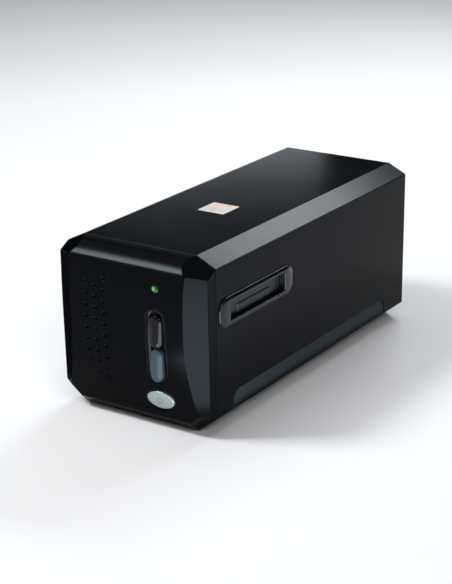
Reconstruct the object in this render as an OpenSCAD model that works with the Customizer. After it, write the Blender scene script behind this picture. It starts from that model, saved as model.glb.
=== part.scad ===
// Desktop film scanner. A dark case with sloping top edges and a crowned front
// bezel. A film slot with a sprung door on each side opens into a straight film
// channel. A scan head slides on two rods, with its lamp over the film and its
// mirror, lens and sensor under it, and a motor turns the lead screw that drives it.
// X is to the right, Y to the back, Z up. The origin is on the table, midway.

/* [Case] */
// Width of the case between its side faces
body_w = 116; // [112:1:124]
// Depth of the case from the crown of its face to its rear edge
body_d = 272; // [266:1:290]
// Height of the top above the table
body_h = 119; // [116:1:128]
// Wall thickness of the case shells
wall = 2.5; // [2:0.1:2.8]
// Width of the sloping strip along each side of the top
slope_w = 14; // [11:0.5:16]
// Drop of the sloping strip
slope_h = 6.8; // [5.5:0.1:8]
// Width of the chamfer under each side
under_w = 12.6; // [10:0.2:14]
// Height of the chamfer under each side
under_h = 10; // [8:0.5:12]
// Gap at the seams between the case shells
seam_gap = 0.2; // [0.1:0.05:0.3]
// Clearance round a piece that is set into another
fit_gap = 0.15; // [0.1:0.05:0.25]
// Depth of the lip that locates one shell inside the next
lip_d = 4; // [3:0.5:5]
// Thickness of that lip
lip_t = 1.5; // [1.2:0.1:1.8]

/* [Front bezel] */
// Depth of the bezel from its crown to the seam
bezel_d = 17; // [16:0.5:19]
// Height of the foremost line of the face
crown_z = 80; // [76:1:84]
// Radius of the face's upright curve
face_r = 400; // [360:10:460]
// Radius of the same curve at the sides of the case
edge_r = 600; // [560:10:700]
// Width of the bevel at each side of the face
bevel_w = 13.8; // [12:0.2:15]
// Depth of that bevel
bevel_d = 8; // [7:0.5:9]
// Drop of the face's top edge below the top of the case
brow_drop = 8.5; // [7:0.5:10]
// Radius of the rounded brow over the face
brow_r = 26; // [22:1:40]
// Height of the face's bottom edge
chin_z = 8.3; // [7:0.1:10]
// Depth from the crown to the foot of the chin bevel
chin_d = 14.5; // [13:0.5:15.5]
// Height at which the side edges of the bezel turn under
jaw_z = 13.9; // [13:0.1:16]

/* [Controls] */
// Distance of the controls to the right of the middle
control_x = 23; // [20:1:26]
// Place of the status light between its pocket and the brow, as a share
light_share = 0.49; // [0.4:0.01:0.6]
// Diameter of the status light
light_w = 5; // [5:0.5:7]
// Width of the pocket that holds the two scan buttons
pocket_w = 15.2; // [14:0.2:15.6]
// Length of that pocket
pocket_len = 52; // [50:0.5:54]
// Height of the middle of the pocket
pocket_z = 59.2; // [58:0.2:61]
// Depth of the pockets behind the face
pocket_d = 3.2; // [2.8:0.1:3.6]
// Width of a scan button
button_w = 9.2; // [8:0.1:10]
// Length of a scan button
button_len = 22.2; // [20:0.2:22.6]
// Space under the lower scan button in its pocket
button_rise = 1.8; // [1.5:0.1:2.4]
// Gap between the two scan buttons
button_gap = 0.8; // [0.5:0.1:1]
// How far the scan buttons stand in front of the crown of the face
key_proud = 1; // [0.4:0.1:1.4]
// How far the power button stands in front of the face round it
power_proud = 1; // [0.4:0.1:1.4]
// Travel of each button
button_travel = 0.6; // [0.4:0.1:0.8]
// Length of the power button's pocket
power_w = 25; // [24:0.5:26]
// Height of the power button's pocket
power_h = 16; // [14.6:0.2:16.4]
// Height of the middle of the power button
power_z = 21.2; // [20.8:0.2:22]
// Rim left round the power button in its pocket
power_rim = 2; // [1.5:0.1:2.3]
// Radius of the balls that the dimples in the face are cut with
dimple_r = 2; // [1.8:0.1:2.4]
// Depth of the dimples
dimple_d = 0.6; // [0.4:0.1:0.8]

/* [Film slots] */
// Distance of the slots behind the crown of the face
slot_back = 64; // [63:1:74]
// Height of the middle of the slots
slot_z = 80.5; // [78:0.5:82]
// Length of the opening in each slot
slot_len = 66; // [65:1:74]
// Height of the opening in each slot
slot_h = 13.2; // [12.8:0.1:14]
// Length of the raised frame round each slot
frame_len = 88; // [86:1:94]
// Height of the raised frame
frame_h = 20; // [19.5:0.5:22]
// How far the frame's crest stands proud of the case
frame_proud = 2; // [1.6:0.1:2.4]
// How far the frame's outer edge stands proud
frame_edge = 1; // [0.6:0.1:1.4]
// Corner radius of the raised frame
frame_corner = 7.5; // [6:0.5:9]
// Length of the frame's sleeve into the case
sleeve_d = 10; // [9:0.5:11]
// Wall thickness of that sleeve
sleeve_t = 1.9; // [1.6:0.1:2.1]
// Thickness of the doors
door_t = 1.5; // [1.2:0.1:1.7]
// Running gap between a door and its slot
door_gap = 0.5; // [0.4:0.1:0.7]
// Radius of the doors' hinge barrels
barrel_r = 1.9; // [1.7:0.1:2]
// Radius of the hinge pins
pin_r = 0.75; // [0.6:0.05:0.9]
// Radial clearance of everything that turns or slides on a pin or rod
run_gap = 0.05; // [0.03:0.01:0.08]
// Length of the finger pad on each door
pad_len = 39; // [36:1:44]
// Height of the finger pad
pad_h = 5.6; // [5:0.1:6]
// Thickness of the finger pad
pad_t = 0.8; // [0.6:0.1:0.9]

/* [Finger grips] */
// Distance of the finger grips behind the crown of the face
grip_back = 36.6; // [34:0.2:44]
// Distance of the finger grips from the rear edge
grip_rear = 29.4; // [26:0.2:40]
// Height of the grips' top edge above the case's underside
grip_top = 22; // [20:0.5:24]
// Depth of the grips at their top edge
grip_d = 2; // [1.5:0.1:2.4]
// Corner radius of the grips
grip_r = 7; // [5:0.5:9]

/* [Feet, screws and label] */
// Height of the rubber feet below the case
foot_proud = 1; // [0.8:0.1:1.4]
// Thickness of the rubber feet
foot_t = 2; // [1.8:0.1:2.4]
// Radius of the rubber feet
foot_r = 6.5; // [5:0.5:8]
// Distance of the feet from the middle, across
foot_x = 34; // [30:1:36]
// Distance of the feet from the ends of the case
foot_end = 32; // [29:0.5:40]
// Radius of the screws' shanks
screw_r = 1.4; // [1.2:0.1:1.5]
// Radius of the screws' heads
screw_head_r = 2.6; // [2.4:0.1:2.8]
// Height of the screws' heads
screw_head_h = 1.6; // [1.4:0.1:1.8]
// Length of the screws' shanks
screw_len = 6; // [5:0.5:6]
// Length of the label on top, across the case
label_w = 21; // [18:0.5:24]
// Width of the label, lengthways
label_d = 20.5; // [18:0.5:24]
// Thickness of the label
label_t = 0.2; // [0.1:0.1:0.3]
// Distance of the label's middle behind the crown of the face
label_back = 108; // [100:1:120]

/* [Film channel] */
// Width of the channel that guides the film holder
channel_w = 64; // [60:1:65]
// Height of that channel
channel_h = 6.6; // [6:0.1:6.8]
// Drop of the channel's middle below the middle of the slots
channel_drop = 1.8; // [1.6:0.1:2]
// Length of the channel's plates, across the case
channel_len = 82; // [78:1:82]
// Thickness of the channel's plates
guide_t = 3; // [2.5:0.1:3.2]
// Length of the window over the film, across the case
window_w = 40; // [38:1:44]
// Width of the window over the film
window_d = 26; // [24:1:26]

/* [Scan head] */
// Travel of the scan head
scan_travel = 24; // [20:1:24]
// Radius of the guide rods
rod_r = 3; // [2.5:0.1:3.2]
// Distance of each guide rod from the middle
rod_x = 26; // [25:0.5:27]
// Height of the guide rods
rod_z = 22; // [21:0.5:22.5]
// Half the width of the head's tray
tray_half = 33.5; // [33:0.1:33.8]
// Height of the underside of the tray
tray_z = 31; // [31:0.1:32]
// Thickness of the tray
tray_t = 3; // [2.5:0.1:3.2]
// Wall of the bushes round the guide rods
bush_t = 1.5; // [1.2:0.1:1.7]
// Height of the optical axis under the film
axis_z = 54; // [53:0.5:56]
// Distance from the scan line to the lens
lens_back = 62; // [60:1:64]
// Length of the lens barrel
lens_len = 26; // [24:1:28]
// Outside radius of the lens barrel
lens_r = 11; // [10:0.5:12]
// Distance from the scan line to the sensor
sensor_back = 126; // [122:1:128]
// Width of the lamp housing, across the case
lamp_w = 50; // [48:1:54]
// Depth of the lamp housing
lamp_d = 20; // [18:1:22]
// Height of the lamp housing
lamp_h = 15; // [14:0.5:17]

/* [Drive] */
// Radius of the lead screw
lead_r = 2.5; // [2:0.1:2.6]
// Height of the lead screw
lead_z = 24.5; // [24.5:0.1:25.5]
// Radius of the stepper motor
motor_r = 14; // [13:0.5:14]
// Length of the stepper motor
motor_len = 20; // [18:1:22]
// Space between the motor and the rear of the case
motor_back = 12; // [11:1:14]

/* [Sockets] */
// Height of the sockets in the rear panel
socket_z = 32; // [30:1:36]
// Distance between the two sockets, up and down
socket_pitch = 20; // [18:1:24]
// Radius of the barrel of the power socket
jack_r = 3.1; // [2.9:0.1:3.4]

/* [Hidden] */

$fn = 48;
FINE = 360;        // facets of the long curves of the bezel
EPS = 0.01;        // overrun of a cut past the face it opens

half_w = body_w / 2;
front_y = -body_d / 2;
rear_y = body_d / 2;
seam_y = front_y + bezel_d;
base_z = foot_proud;
split_z = body_h - slope_h;
inner_x = half_w - wall;
floor_z = base_z + wall;
face_x = half_w - bevel_w;
brow_z = body_h - brow_drop;
foot_y = body_d / 2 - foot_end;

// Section of the case: outward normals of its slanted strips, and its corners
// moved inwards by t.
slope_n = unit([slope_h, slope_w]);
under_n = unit([under_h, -under_w]);
function unit(v) = v / norm(v);
function inset(p, n1, n2, t) = p - t * (n1 + n2) / (1 + n1 * n2);
function half_section(t) = [
    inset([half_w - under_w, base_z], [0, -1], under_n, t),
    inset([half_w, base_z + under_h], under_n, [1, 0], t),
    inset([half_w, split_z], [1, 0], slope_n, t),
    inset([half_w - slope_w, body_h], slope_n, [0, 1], t)];
function section(t) = concat(half_section(t),
    [for (i = [3:-1:0]) [-half_section(t)[i].x, half_section(t)[i].y]]);

// Bezel: the face and its side edges are upright arcs, the bevel between them
// is part of a wide cone whose radius grows from one arc to the other.
cone_rise = (edge_r - face_r) / bevel_w;
cone_a = atan(cone_rise);
cone_dx = face_r / cone_rise;
seam_land = 0.4;                             // straight strip left in front of the seam
cone_turn = atan(bevel_d / bevel_w) + cone_a - 90;
function face_y(z, r = face_r) = front_y + face_r - sqrt(r * r - (z - crown_z) * (z - crown_z));
jaw_y = front_y + bevel_d + edge_r - sqrt(edge_r * edge_r - (jaw_z - crown_z) * (jaw_z - crown_z));
brow_a = [face_y(brow_z), brow_z];
brow_b = [seam_y - seam_land, body_h];
brow_n = unit([(brow_b - brow_a).y, -(brow_b - brow_a).x]);
brow_c = (brow_a + brow_b) / 2 + brow_n * sqrt(brow_r * brow_r - norm(brow_b - brow_a) ^ 2 / 4);
// Points of the corner facets: on the brow, the seam, the side, the face and the chin
brow_face = [face_x, face_y(brow_z), brow_z];
brow_seam = [half_w - slope_w, seam_y - seam_land, body_h];
brow_side = [half_w, seam_y - seam_land, split_z];
chin_face = [face_x, face_y(chin_z), chin_z];
chin_foot = [half_w - under_w, front_y + chin_d, base_z];
chin_side = [half_w, jaw_y, jaw_z];
chin_n = [0, chin_face.z * -1 + chin_foot.z, chin_face.y - chin_foot.y];
top_corner_n = cross(brow_seam - brow_side, brow_face - brow_side);
low_corner_n = cross(chin_side - chin_foot, chin_face - chin_foot);

// Dimples: X, lowest height, highest height and count of each column
dimple_columns = [[-32, 38.4, 93.8, 8], [-24.6, 31.8, 91.8, 9], [-17.3, 27.9, 97.5, 10]];

// Controls
lower_z = pocket_z - pocket_len / 2 + button_rise + button_len / 2;
upper_z = lower_z + button_len + button_gap;
pocket_top = pocket_z + pocket_len / 2;
light_z = pocket_top + light_share * (brow_z - pocket_top);
well_t = 0.9;                                // wall of the two wells
well_floor = 1.4;                            // floor of the two wells
well_lip = 1.4;                              // width of the lip a well seats with
button_side = 0.25;                          // gap round a button in its floor
button_crown = 0.3;                          // height of the flat along a button's crown
key_y = front_y - key_proud;                 // upright plane of the scan buttons' fronts
flange_w = 0.9;                              // width of a button's hidden flange
flange_t = 1.2;                              // thickness of that flange
flange_apart = 0.4;                          // gap between the flanges of the scan buttons
lens_dome = 0.3;                             // height of the status light's dome
flange_gap = 0.3;                            // gap between the flange and the floor
stem_r = 1.6;                                // radius of a button's stem
board_t = 1.6;                               // thickness of the circuit boards
button_board_y = seam_y + lip_d - 2.5;       // front of the board behind the buttons
switch_h = 3.5;                              // height of a tact switch
plunger_h = 0.8;                             // height of its plunger
press_gap = button_travel + 0.1;             // gap between a stem and its plunger
stem_end = button_board_y - switch_h - plunger_h - press_gap;
post_dx = 12.5;                              // posts of the button board from the controls
post_r = 3;
post_zs = [41, 88];

// Slots: a slot is drawn in u (outwards), y and z round the middle of its opening
slot_y = front_y + slot_back;
pin_u = inner_x - barrel_r;
pin_z = slot_z + slot_h / 2 - barrel_r - 0.3;
door_low = slot_z - slot_h / 2 + door_gap;
door_len = slot_len - 2 * door_gap;
sleeve_len = slot_len + 2 * sleeve_t;
sleeve_h = slot_h + 2 * sleeve_t;
opening_r = 0.8;                             // corner radius of the opening
spring_len = 9;                              // length of a door spring's coil
crest_w = 0.8;                               // width of the frame's crest
crest_r = 1.6;                               // its corner radius
grip_y = front_y + grip_back;
grip_len = rear_y - grip_rear - grip_y;

// Film channel and what stands round it
channel_z = slot_z - channel_drop;
guide_low = channel_z - channel_h / 2 - guide_t;
guide_top = channel_z + channel_h / 2 + guide_t;
guide_d = channel_w + 2 * guide_t;
plate_z = floor_z + 4.5;                     // underside of the chassis plate
plate_t = 1.5;
plate_top = plate_z + plate_t;
plate_half = 42;
plate_front = seam_y + lip_d + 3;
plate_rear = rear_y - 13;
plate_screws = [[12, plate_front + 6], [plate_half - 6, 0], [plate_half - 6, plate_rear - 6]];
stand_t = 2;                                 // thickness of the guide stands
stand_x = tray_half + 2.2;                   // inner face of a guide stand
stand_foot = 5.5;                            // width of a stand's foot flange

// Rear panel
panel_t = 2.5;
panel_sink = 1.5;
panel_y = rear_y - panel_sink - panel_t;
boss_w = 6;                                  // side of the blocks the panel is screwed to
low_boss_z = 15;
top_boss_x = 34;

// Scan head at rest, its scan line at the front of the window
line_y = slot_y - scan_travel / 2;
tray_top = tray_z + tray_t;
tray_front = line_y - 16;
tray_rear = line_y + sensor_back + 8;
bush_len = 14;
bush_ys = [tray_front, tray_rear - bush_len];
bush_r = rod_r + run_gap + bush_t;
housing_r = bush_r + 2.5;
mirror_t = 2;
mirror_len = 20;
mirror_w = 44;
lens_bore = lens_r - 3;
clamp_d = 12;
sensor_y = line_y + sensor_back;
sensor_t = 3;
sensor_board_half = 28;
sensor_board_up = 16;                        // its height over the optical axis
leg_w = 10;                                  // width of each leg of the lamp arm
leg_y = slot_y + guide_d / 2 + 3;            // front of those legs
leg_d = 6;
arm_z = guide_top + 5.5;                     // underside of the arm over the film
arm_t = 3;
lamp_z = guide_top + 2.2;                    // underside of the lamp housing
lamp_wall = 1.5;

// Drive
motor_y = rear_y - motor_back - motor_len - panel_sink - panel_t;
bracket_t = 2;
bracket_half = 20;                           // half the width of the motor's bracket
bracket_foot = 12;                           // depth of its foot
motor_nose_r = 5;
nose_len = 1.5;
lead_rear = motor_y + 4;
lead_front = line_y + 66;
nut_len = 12;
nut_y = line_y + 84;
rod_front = plate_front + 2;
rod_rear = tray_rear + scan_travel + 8;
block_d = 6;

// Boards and sockets
main_x = -inner_x + 7;                       // outer face of the main board
main_front = slot_y + sleeve_len / 2 + 12;
main_rear = panel_y - 1;
main_low = 24;
main_high = 92;

socket_x = main_x + board_t;                 // face of the board that carries the parts
usb_w = 11.2;                                // width of the square data socket
usb_h = 12;
jack_w = 9;                                  // width of the power socket's body
jack_h = 11;
usb_z = socket_z + socket_pitch;
main_chip = [24, 24, 2];                     // length, width and thickness of the chips
small_chip = [12, 10, 1.5];
chip_y = main_front + 40;                    // front of the main chip
chip_z = main_low + 28;                      // its lower edge
capacitor_r = 4;
capacitor_z = main_low + 12;
cable_y = main_front + 6;                    // front of the cable's plug on the board
cable_w = 20;                                // width of the flat cable
cable_t = 0.3;
cable_plug = 3;                              // height of its plug
cable_turn = 5;                              // outer radius of its bend
cable_turn_y = sensor_y + scan_travel + 6;   // where the bend starts

// ---- Shared shapes ----

// A length of the case's outline, drawn in by t, from y0 to y1
module case_prism(t, y0, y1) {
    translate([0, y1, 0])
        rotate([90, 0, 0])
            linear_extrude(y1 - y0)
                polygon(section(t));
}

// The space beyond a plane through p, on the side its normal n points to
module beyond(p, n) {
    span = 2 * body_w;
    translate(p)
        rotate([0, acos(n.z / norm(n)), atan2(n.y, n.x)])
            translate([-span / 2, -span / 2, 0])
                cube(span);
}

// A cylinder along X, on the axis y, z
module x_rod(r, x0, x1, y, z, fn = $fn) {
    translate([x0, y, z])
        rotate([0, 90, 0])
            cylinder(r = r, h = x1 - x0, $fn = fn);
}

// A cylinder along Y, on the axis x, z
module y_rod(r, y0, y1, x, z) {
    translate([x, y1, z])
        rotate([90, 0, 0])
            cylinder(r = r, h = y1 - y0);
}

// A box between two corners
module block(low, high) {
    translate(low)
        cube(high - low);
}

// A pill shape of width w and height len, from y0 to y1
module pill(w, len, x, z, y0, y1) {
    translate([x, y1, z])
        rotate([90, 0, 0])
            linear_extrude(y1 - y0) {
                square([w, len - w], center = true);
                for (s = [-1, 1])
                    translate([0, s * (len - w) / 2])
                        circle(d = w);
            }
}

// An oval prism of width w and height h, from y0 to y1
module oval(w, h, x, z, y0, y1) {
    translate([x, y1, z])
        rotate([90, 0, 0])
            linear_extrude(y1 - y0)
                polygon([for (i = [0:5:355]) [w / 2 * cos(i), h / 2 * sin(i)]]);
}

// A rectangle with round corners, standing in Y and Z, from x0 to x1
module side_plate(len, h, r, x0, x1) {
    translate([x0, slot_y, slot_z])
        rotate([90, 0, 90])
            linear_extrude(x1 - x0) {
                square([len - 2 * r, h], center = true);
                square([len, h - 2 * r], center = true);
                for (a = [-1, 1], b = [-1, 1])
                    translate([a * (len / 2 - r), b * (h / 2 - r)])
                        circle(r);
            }
}

// A pan-head screw whose head seats on the origin, with its shank along -Z
module screw() {
    difference() {
        union() {
            cylinder(r = screw_head_r, h = screw_head_h);
            translate([0, 0, -screw_len])
                cylinder(r = screw_r, h = screw_len + EPS);
        }
        for (a = [0, 90])
            rotate(a)
                translate([-screw_head_r * 0.6, -0.35, screw_head_h - 0.8])
                    cube([screw_head_r * 1.2, 0.7, 1]);
    }
}

// ---- Front bezel and controls ----

// Everything behind the face's upright arc, t behind the face itself
module behind_face(t) {
    x_rod(face_r - t, -half_w - 1, half_w + 1, front_y + face_r, crown_z, FINE);
}

module bevel_cone(t) {
    apex = [face_x - cone_dx, front_y - cone_dx * bevel_d / bevel_w, crown_z];
    height = bezel_d + body_w * 0.6;
    translate(apex)
        rotate([0, 0, cone_turn])
            rotate([-90, 0, 0])
                translate([0, 0, t / sin(cone_a)])
                    cylinder(r1 = 0, r2 = height * cone_rise, h = height, $fn = FINE);
}

// The bezel's outside shape drawn in by t, running back to rear
module bezel_form(t, rear) {
    difference() {
        intersection() {
            case_prism(t, front_y - 1, rear);
            behind_face(t);
            bevel_cone(t);
            mirror([1, 0, 0])
                bevel_cone(t);
        }
        difference() {
            block([-half_w - 1, front_y - 2, brow_c.y], [half_w + 1, seam_y, body_h + 1]);
            x_rod(brow_r - t, -half_w - 2, half_w + 2, brow_c.x, brow_c.y, FINE);
        }
        beyond(chin_foot - t * unit(chin_n), chin_n);
        for (s = [0, 1])
            mirror([s, 0, 0]) {
                beyond(brow_seam - t * unit(top_corner_n), top_corner_n);
                beyond(chin_foot - t * unit(low_corner_n), low_corner_n);
            }
    }
}

module dimples() {
    for (c = dimple_columns, i = [0:c[3] - 1]) {
        z = c[1] + (c[2] - c[1]) * i / (c[3] - 1);
        translate([c[0], face_y(z) - dimple_r + dimple_d, z])
            sphere(dimple_r, $fn = 32);
    }
}

module front_bezel() {
    color([0.13, 0.13, 0.15])
        difference() {
            union() {
                difference() {
                    bezel_form(0, seam_y);
                    bezel_form(wall, seam_y + 1);
                }
                // Lip that slides into the shells
                difference() {
                    union() {
                        intersection() {
                            case_prism(wall - 0.5, seam_y - lip_d, seam_y);
                            bezel_form(wall - 0.5, seam_y);
                        }
                        case_prism(wall + fit_gap, seam_y - 1, seam_y + lip_d);
                    }
                    case_prism(wall + fit_gap + lip_t, seam_y - lip_d - 1, seam_y + lip_d + 1);
                }
                // Posts of the button board
                for (s = [-1, 1], z = post_zs)
                    y_rod(post_r, face_y(z) + 1, button_board_y, control_x + s * post_dx, z);
            }
            pill(pocket_w, pocket_len, control_x, pocket_z, front_y - 1, seam_y);
            oval(power_w, power_h, control_x, power_z, front_y - 1, seam_y);
            y_rod(light_w / 2, front_y - 1, seam_y, control_x, light_z);
            for (s = [-1, 1], z = post_zs)
                y_rod(screw_r, button_board_y - screw_len, button_board_y + 1,
                    control_x + s * post_dx, z);
            dimples();
        }
}

// The part of its children that lies between two depths behind the face
module between_depths(a, b) {
    difference() {
        intersection() {
            children();
            behind_face(a);
        }
        behind_face(b);
    }
}

// A well lines its pocket, seats behind the bezel's wall by its lip, and its
// floor guides the buttons. Pocket outlines: 0 the pocket, t drawn in by t
module button_pocket(t) {
    pill(pocket_w - 2 * t, pocket_len - 2 * t, control_x, pocket_z, front_y - 1, seam_y);
}

module button_well() {
    color([0.03, 0.03, 0.035])
        difference() {
            union() {
                between_depths(fit_gap, pocket_d + well_floor)
                    button_pocket(fit_gap);
                between_depths(wall + fit_gap, wall + fit_gap + 1)
                    button_pocket(-well_lip);
            }
            between_depths(-1, pocket_d)
                button_pocket(fit_gap + well_t);
            for (z = [lower_z, upper_z])
                pill(button_w + 2 * button_side, button_len + 2 * button_side, control_x, z,
                    front_y - 1, seam_y);
        }
}

module power_pocket(t) {
    oval(power_w - 2 * t, power_h - 2 * t, control_x, power_z, front_y - 1, seam_y);
}

module power_well() {
    color([0.03, 0.03, 0.035])
        difference() {
            union() {
                between_depths(fit_gap, pocket_d + well_floor)
                    power_pocket(fit_gap);
                between_depths(wall + fit_gap, wall + fit_gap + 1)
                    power_pocket(-well_lip);
            }
            between_depths(-1, pocket_d)
                power_pocket(fit_gap + well_t);
            power_pocket(power_rim - button_side);
        }
}

flange_depth = pocket_d + well_floor + flange_gap;

// A button's stem, from its flange to just short of the switch
module stem(z) {
    y_rod(stem_r, face_y(z) + flange_depth + flange_t / 2, stem_end, control_x, z);
}

// A scan button: a crowned face, a flange behind the well's floor and a stem
module scan_button(z) {
    crown_r = button_w + button_crown;
    difference() {
        intersection() {
            pill(button_w, button_len, control_x, z, key_y, seam_y);
            translate([control_x, key_y + button_w, z])
                cylinder(r = crown_r, h = 2 * button_len, center = true, $fn = 96);
        }
        behind_face(flange_depth + flange_t);
    }
    between_depths(flange_depth, flange_depth + flange_t)
        pill(button_w + 2 * flange_w, button_len + button_gap - flange_apart, control_x, z,
            front_y, seam_y);
    stem(z);
}

module upper_scan_button() {
    color([0.10, 0.10, 0.12])
        scan_button(upper_z);
}

module lower_scan_button() {
    color([0.55, 0.56, 0.58])
        scan_button(lower_z);
}

module power_button() {
    color([0.78, 0.79, 0.80]) {
        between_depths(-power_proud, flange_depth + flange_t)
            power_pocket(power_rim);
        between_depths(flange_depth, flange_depth + flange_t)
            power_pocket(power_rim - flange_w);
        stem(power_z);
    }
}

module light_pipe() {
    face = face_y(light_z);
    shoulder = face + wall + 2 * fit_gap;
    color([0.35, 0.85, 0.35])
        union() {
            intersection() {
                y_rod(light_w / 2 - fit_gap, face - lens_dome, shoulder + 1, control_x, light_z);
                translate([control_x, face + light_w - lens_dome, light_z])
                    sphere(light_w);
            }
            y_rod(light_w / 2 + 1, shoulder, shoulder + 1, control_x, light_z);
            y_rod(light_w / 2 - 0.8, shoulder, button_board_y - switch_h - 0.3,
                control_x, light_z);
        }
}

module status_led() {
    color([0.5, 0.95, 0.5])
        union() {
            y_rod(1.5, button_board_y - switch_h, button_board_y, control_x, light_z);
            y_rod(1.9, button_board_y - 1, button_board_y, control_x, light_z);
        }
}

module tact_switches() {
    color([0.2, 0.2, 0.2])
        for (z = [power_z, lower_z, upper_z]) {
            block([control_x - 3, button_board_y - switch_h, z - 3],
                [control_x + 3, button_board_y, z + 3]);
            y_rod(1.7, button_board_y - switch_h - plunger_h, button_board_y - switch_h + EPS,
                control_x, z);
        }
}

module button_board() {
    edge = post_dx + post_r + 1;
    color([0.1, 0.35, 0.2])
        difference() {
            block([control_x - edge, button_board_y, power_z - 6],
                [control_x + edge, button_board_y + board_t, light_z + 5]);
            for (s = [-1, 1], z = post_zs)
                y_rod(screw_r + 0.1, button_board_y - 1, button_board_y + board_t + 1,
                    control_x + s * post_dx, z);
        }
}

module board_screws() {
    color([0.6, 0.6, 0.62])
        for (s = [-1, 1], z = post_zs)
            translate([control_x + s * post_dx, button_board_y + board_t, z])
                rotate([-90, 0, 0])
                    screw();
}

// ---- Case shells ----

// A length of shell, wall thick, from the seam to the rear edge
module shell() {
    difference() {
        case_prism(0, seam_y + seam_gap, rear_y);
        case_prism(wall, seam_y, rear_y + 1);
    }
}

// The finger grip of the right side: deepest under its top edge, it runs out
// flush with the case at the chamfer
module grip_cut() {
    top = base_z + grip_top;
    low = base_z + under_h;
    intersection() {
        translate([0, grip_y + grip_len, 0])
            rotate([90, 0, 0])
                linear_extrude(grip_len)
                    polygon([[half_w, low], [half_w - grip_d, top], [half_w + 2, top],
                        [half_w + 2, low]]);
        union() {
            block([0, grip_y, low - 1], [body_w, grip_y + grip_len, top - grip_r]);
            block([0, grip_y + grip_r, low - 1], [body_w, grip_y + grip_len - grip_r, top + 1]);
            for (y = [grip_y + grip_r, grip_y + grip_len - grip_r])
                x_rod(grip_r, 0, body_w, y, top - grip_r);
        }
    }
}

module chassis_screw_places() {
    for (s = [-1, 1], p = plate_screws)
        translate([s * p.x, p.y, plate_top])
            children();
}

module foot_places() {
    for (x = [-foot_x, foot_x], y = [-foot_y, foot_y])
        translate([x, y, 0])
            children();
}

module lower_case() {
    color([0.09, 0.10, 0.13])
        difference() {
            union() {
                difference() {
                    shell();
                    translate([0, 0, split_z - seam_gap])
                        linear_extrude(body_h)
                            square([2 * body_w, 2 * body_d], center = true);
                }
                // Backing of the finger grips
                for (s = [0, 1])
                    mirror([s, 0, 0])
                        block([inner_x - grip_d, grip_y - 4, base_z + under_h],
                            [half_w - grip_d / 2, grip_y + grip_len + 4, base_z + grip_top + 3]);
                // Bosses under the chassis plate
                chassis_screw_places()
                    translate([0, 0, floor_z - plate_top - 1])
                        cylinder(r = screw_head_r + 1.2, h = plate_z - floor_z + 1);
                // Blocks the rear panel is screwed to
                for (s = [0, 1])
                    mirror([s, 0, 0])
                        block([inner_x - boss_w, panel_y - screw_len - 2, low_boss_z - boss_w / 2],
                            [inner_x + 1, panel_y, low_boss_z + boss_w / 2]);
            }
            for (s = [0, 1])
                mirror([s, 0, 0]) {
                    grip_cut();
                    block([inner_x - wall, slot_y - sleeve_len / 2 - fit_gap,
                            slot_z - sleeve_h / 2 - fit_gap],
                        [half_w + 1, slot_y + sleeve_len / 2 + fit_gap,
                            slot_z + sleeve_h / 2 + fit_gap]);
                    y_rod(screw_r, panel_y - screw_len - 1, panel_y + 1,
                        inner_x - boss_w / 2, low_boss_z);
                }
            foot_places()
                translate([0, 0, base_z - 1])
                    cylinder(r = foot_r + fit_gap, h = foot_t - foot_proud + 1);
            chassis_screw_places()
                translate([0, 0, -screw_len])
                    cylinder(r = screw_r, h = screw_len);
        }
}

module top_cover() {
    lip_y0 = seam_y + lip_d + 2;
    lip_y1 = panel_y - screw_len - 4;
    color([0.10, 0.11, 0.14])
        difference() {
            union() {
                intersection() {
                    shell();
                    translate([0, 0, split_z])
                        linear_extrude(body_h)
                            square([2 * body_w, 2 * body_d], center = true);
                }
                for (s = [0, 1])
                    mirror([s, 0, 0]) {
                        // Lip inside the side wall
                        difference() {
                            intersection() {
                                case_prism(wall - 0.5, lip_y0, lip_y1);
                                union() {
                                    block([0, lip_y0, split_z], [half_w, lip_y1, split_z + 2]);
                                    intersection() {
                                        case_prism(wall + fit_gap, lip_y0, lip_y1);
                                        block([0, lip_y0, split_z - lip_d],
                                            [half_w, lip_y1, split_z + 1]);
                                    }
                                }
                            }
                            case_prism(wall + fit_gap + lip_t, lip_y0 - 1, lip_y1 + 1);
                        }
                        // Block the rear panel is screwed to
                        block([top_boss_x - boss_w / 2, panel_y - screw_len - 2,
                                body_h - wall - boss_w],
                            [top_boss_x + boss_w / 2, panel_y, body_h - wall + 1]);
                    }
            }
            for (s = [-1, 1])
                y_rod(screw_r, panel_y - screw_len - 1, panel_y + 1,
                    s * top_boss_x, body_h - wall - boss_w / 2);
            label_block(0.1, 1);
        }
}

// The label's place on the top, grown by gap all round and by over upwards
module label_block(gap, over) {
    y = front_y + label_back;
    block([-label_w / 2 - gap, y - label_d / 2 - gap, body_h - label_t],
        [label_w / 2 + gap, y + label_d / 2 + gap, body_h + over]);
}

module top_label() {
    color([0.93, 0.91, 0.89])
        label_block(0, 0);
}

module rubber_feet() {
    color([0.08, 0.08, 0.08])
        foot_places()
            rotate_extrude()
                polygon([[0, 0], [foot_r - 0.8, 0], [foot_r, foot_proud], [foot_r, foot_t],
                    [0, foot_t]]);
}

module rear_panel() {
    color([0.08, 0.08, 0.10])
        difference() {
            case_prism(wall + fit_gap, panel_y, panel_y + panel_t);
            rear_screw_places()
                translate([0, 0, -panel_t - 1])
                    cylinder(r = screw_r + 0.1, h = panel_t + 2);
            usb_hole(fit_gap);
            jack_hole(fit_gap);
        }
}

module rear_screw_places() {
    for (s = [-1, 1]) {
        translate([s * (inner_x - boss_w / 2), panel_y + panel_t, low_boss_z])
            rotate([-90, 0, 0])
                children();
        translate([s * top_boss_x, panel_y + panel_t, body_h - wall - boss_w / 2])
            rotate([-90, 0, 0])
                children();
    }
}

module rear_screws() {
    color([0.15, 0.15, 0.16])
        rear_screw_places()
            screw_rear();
}

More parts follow.
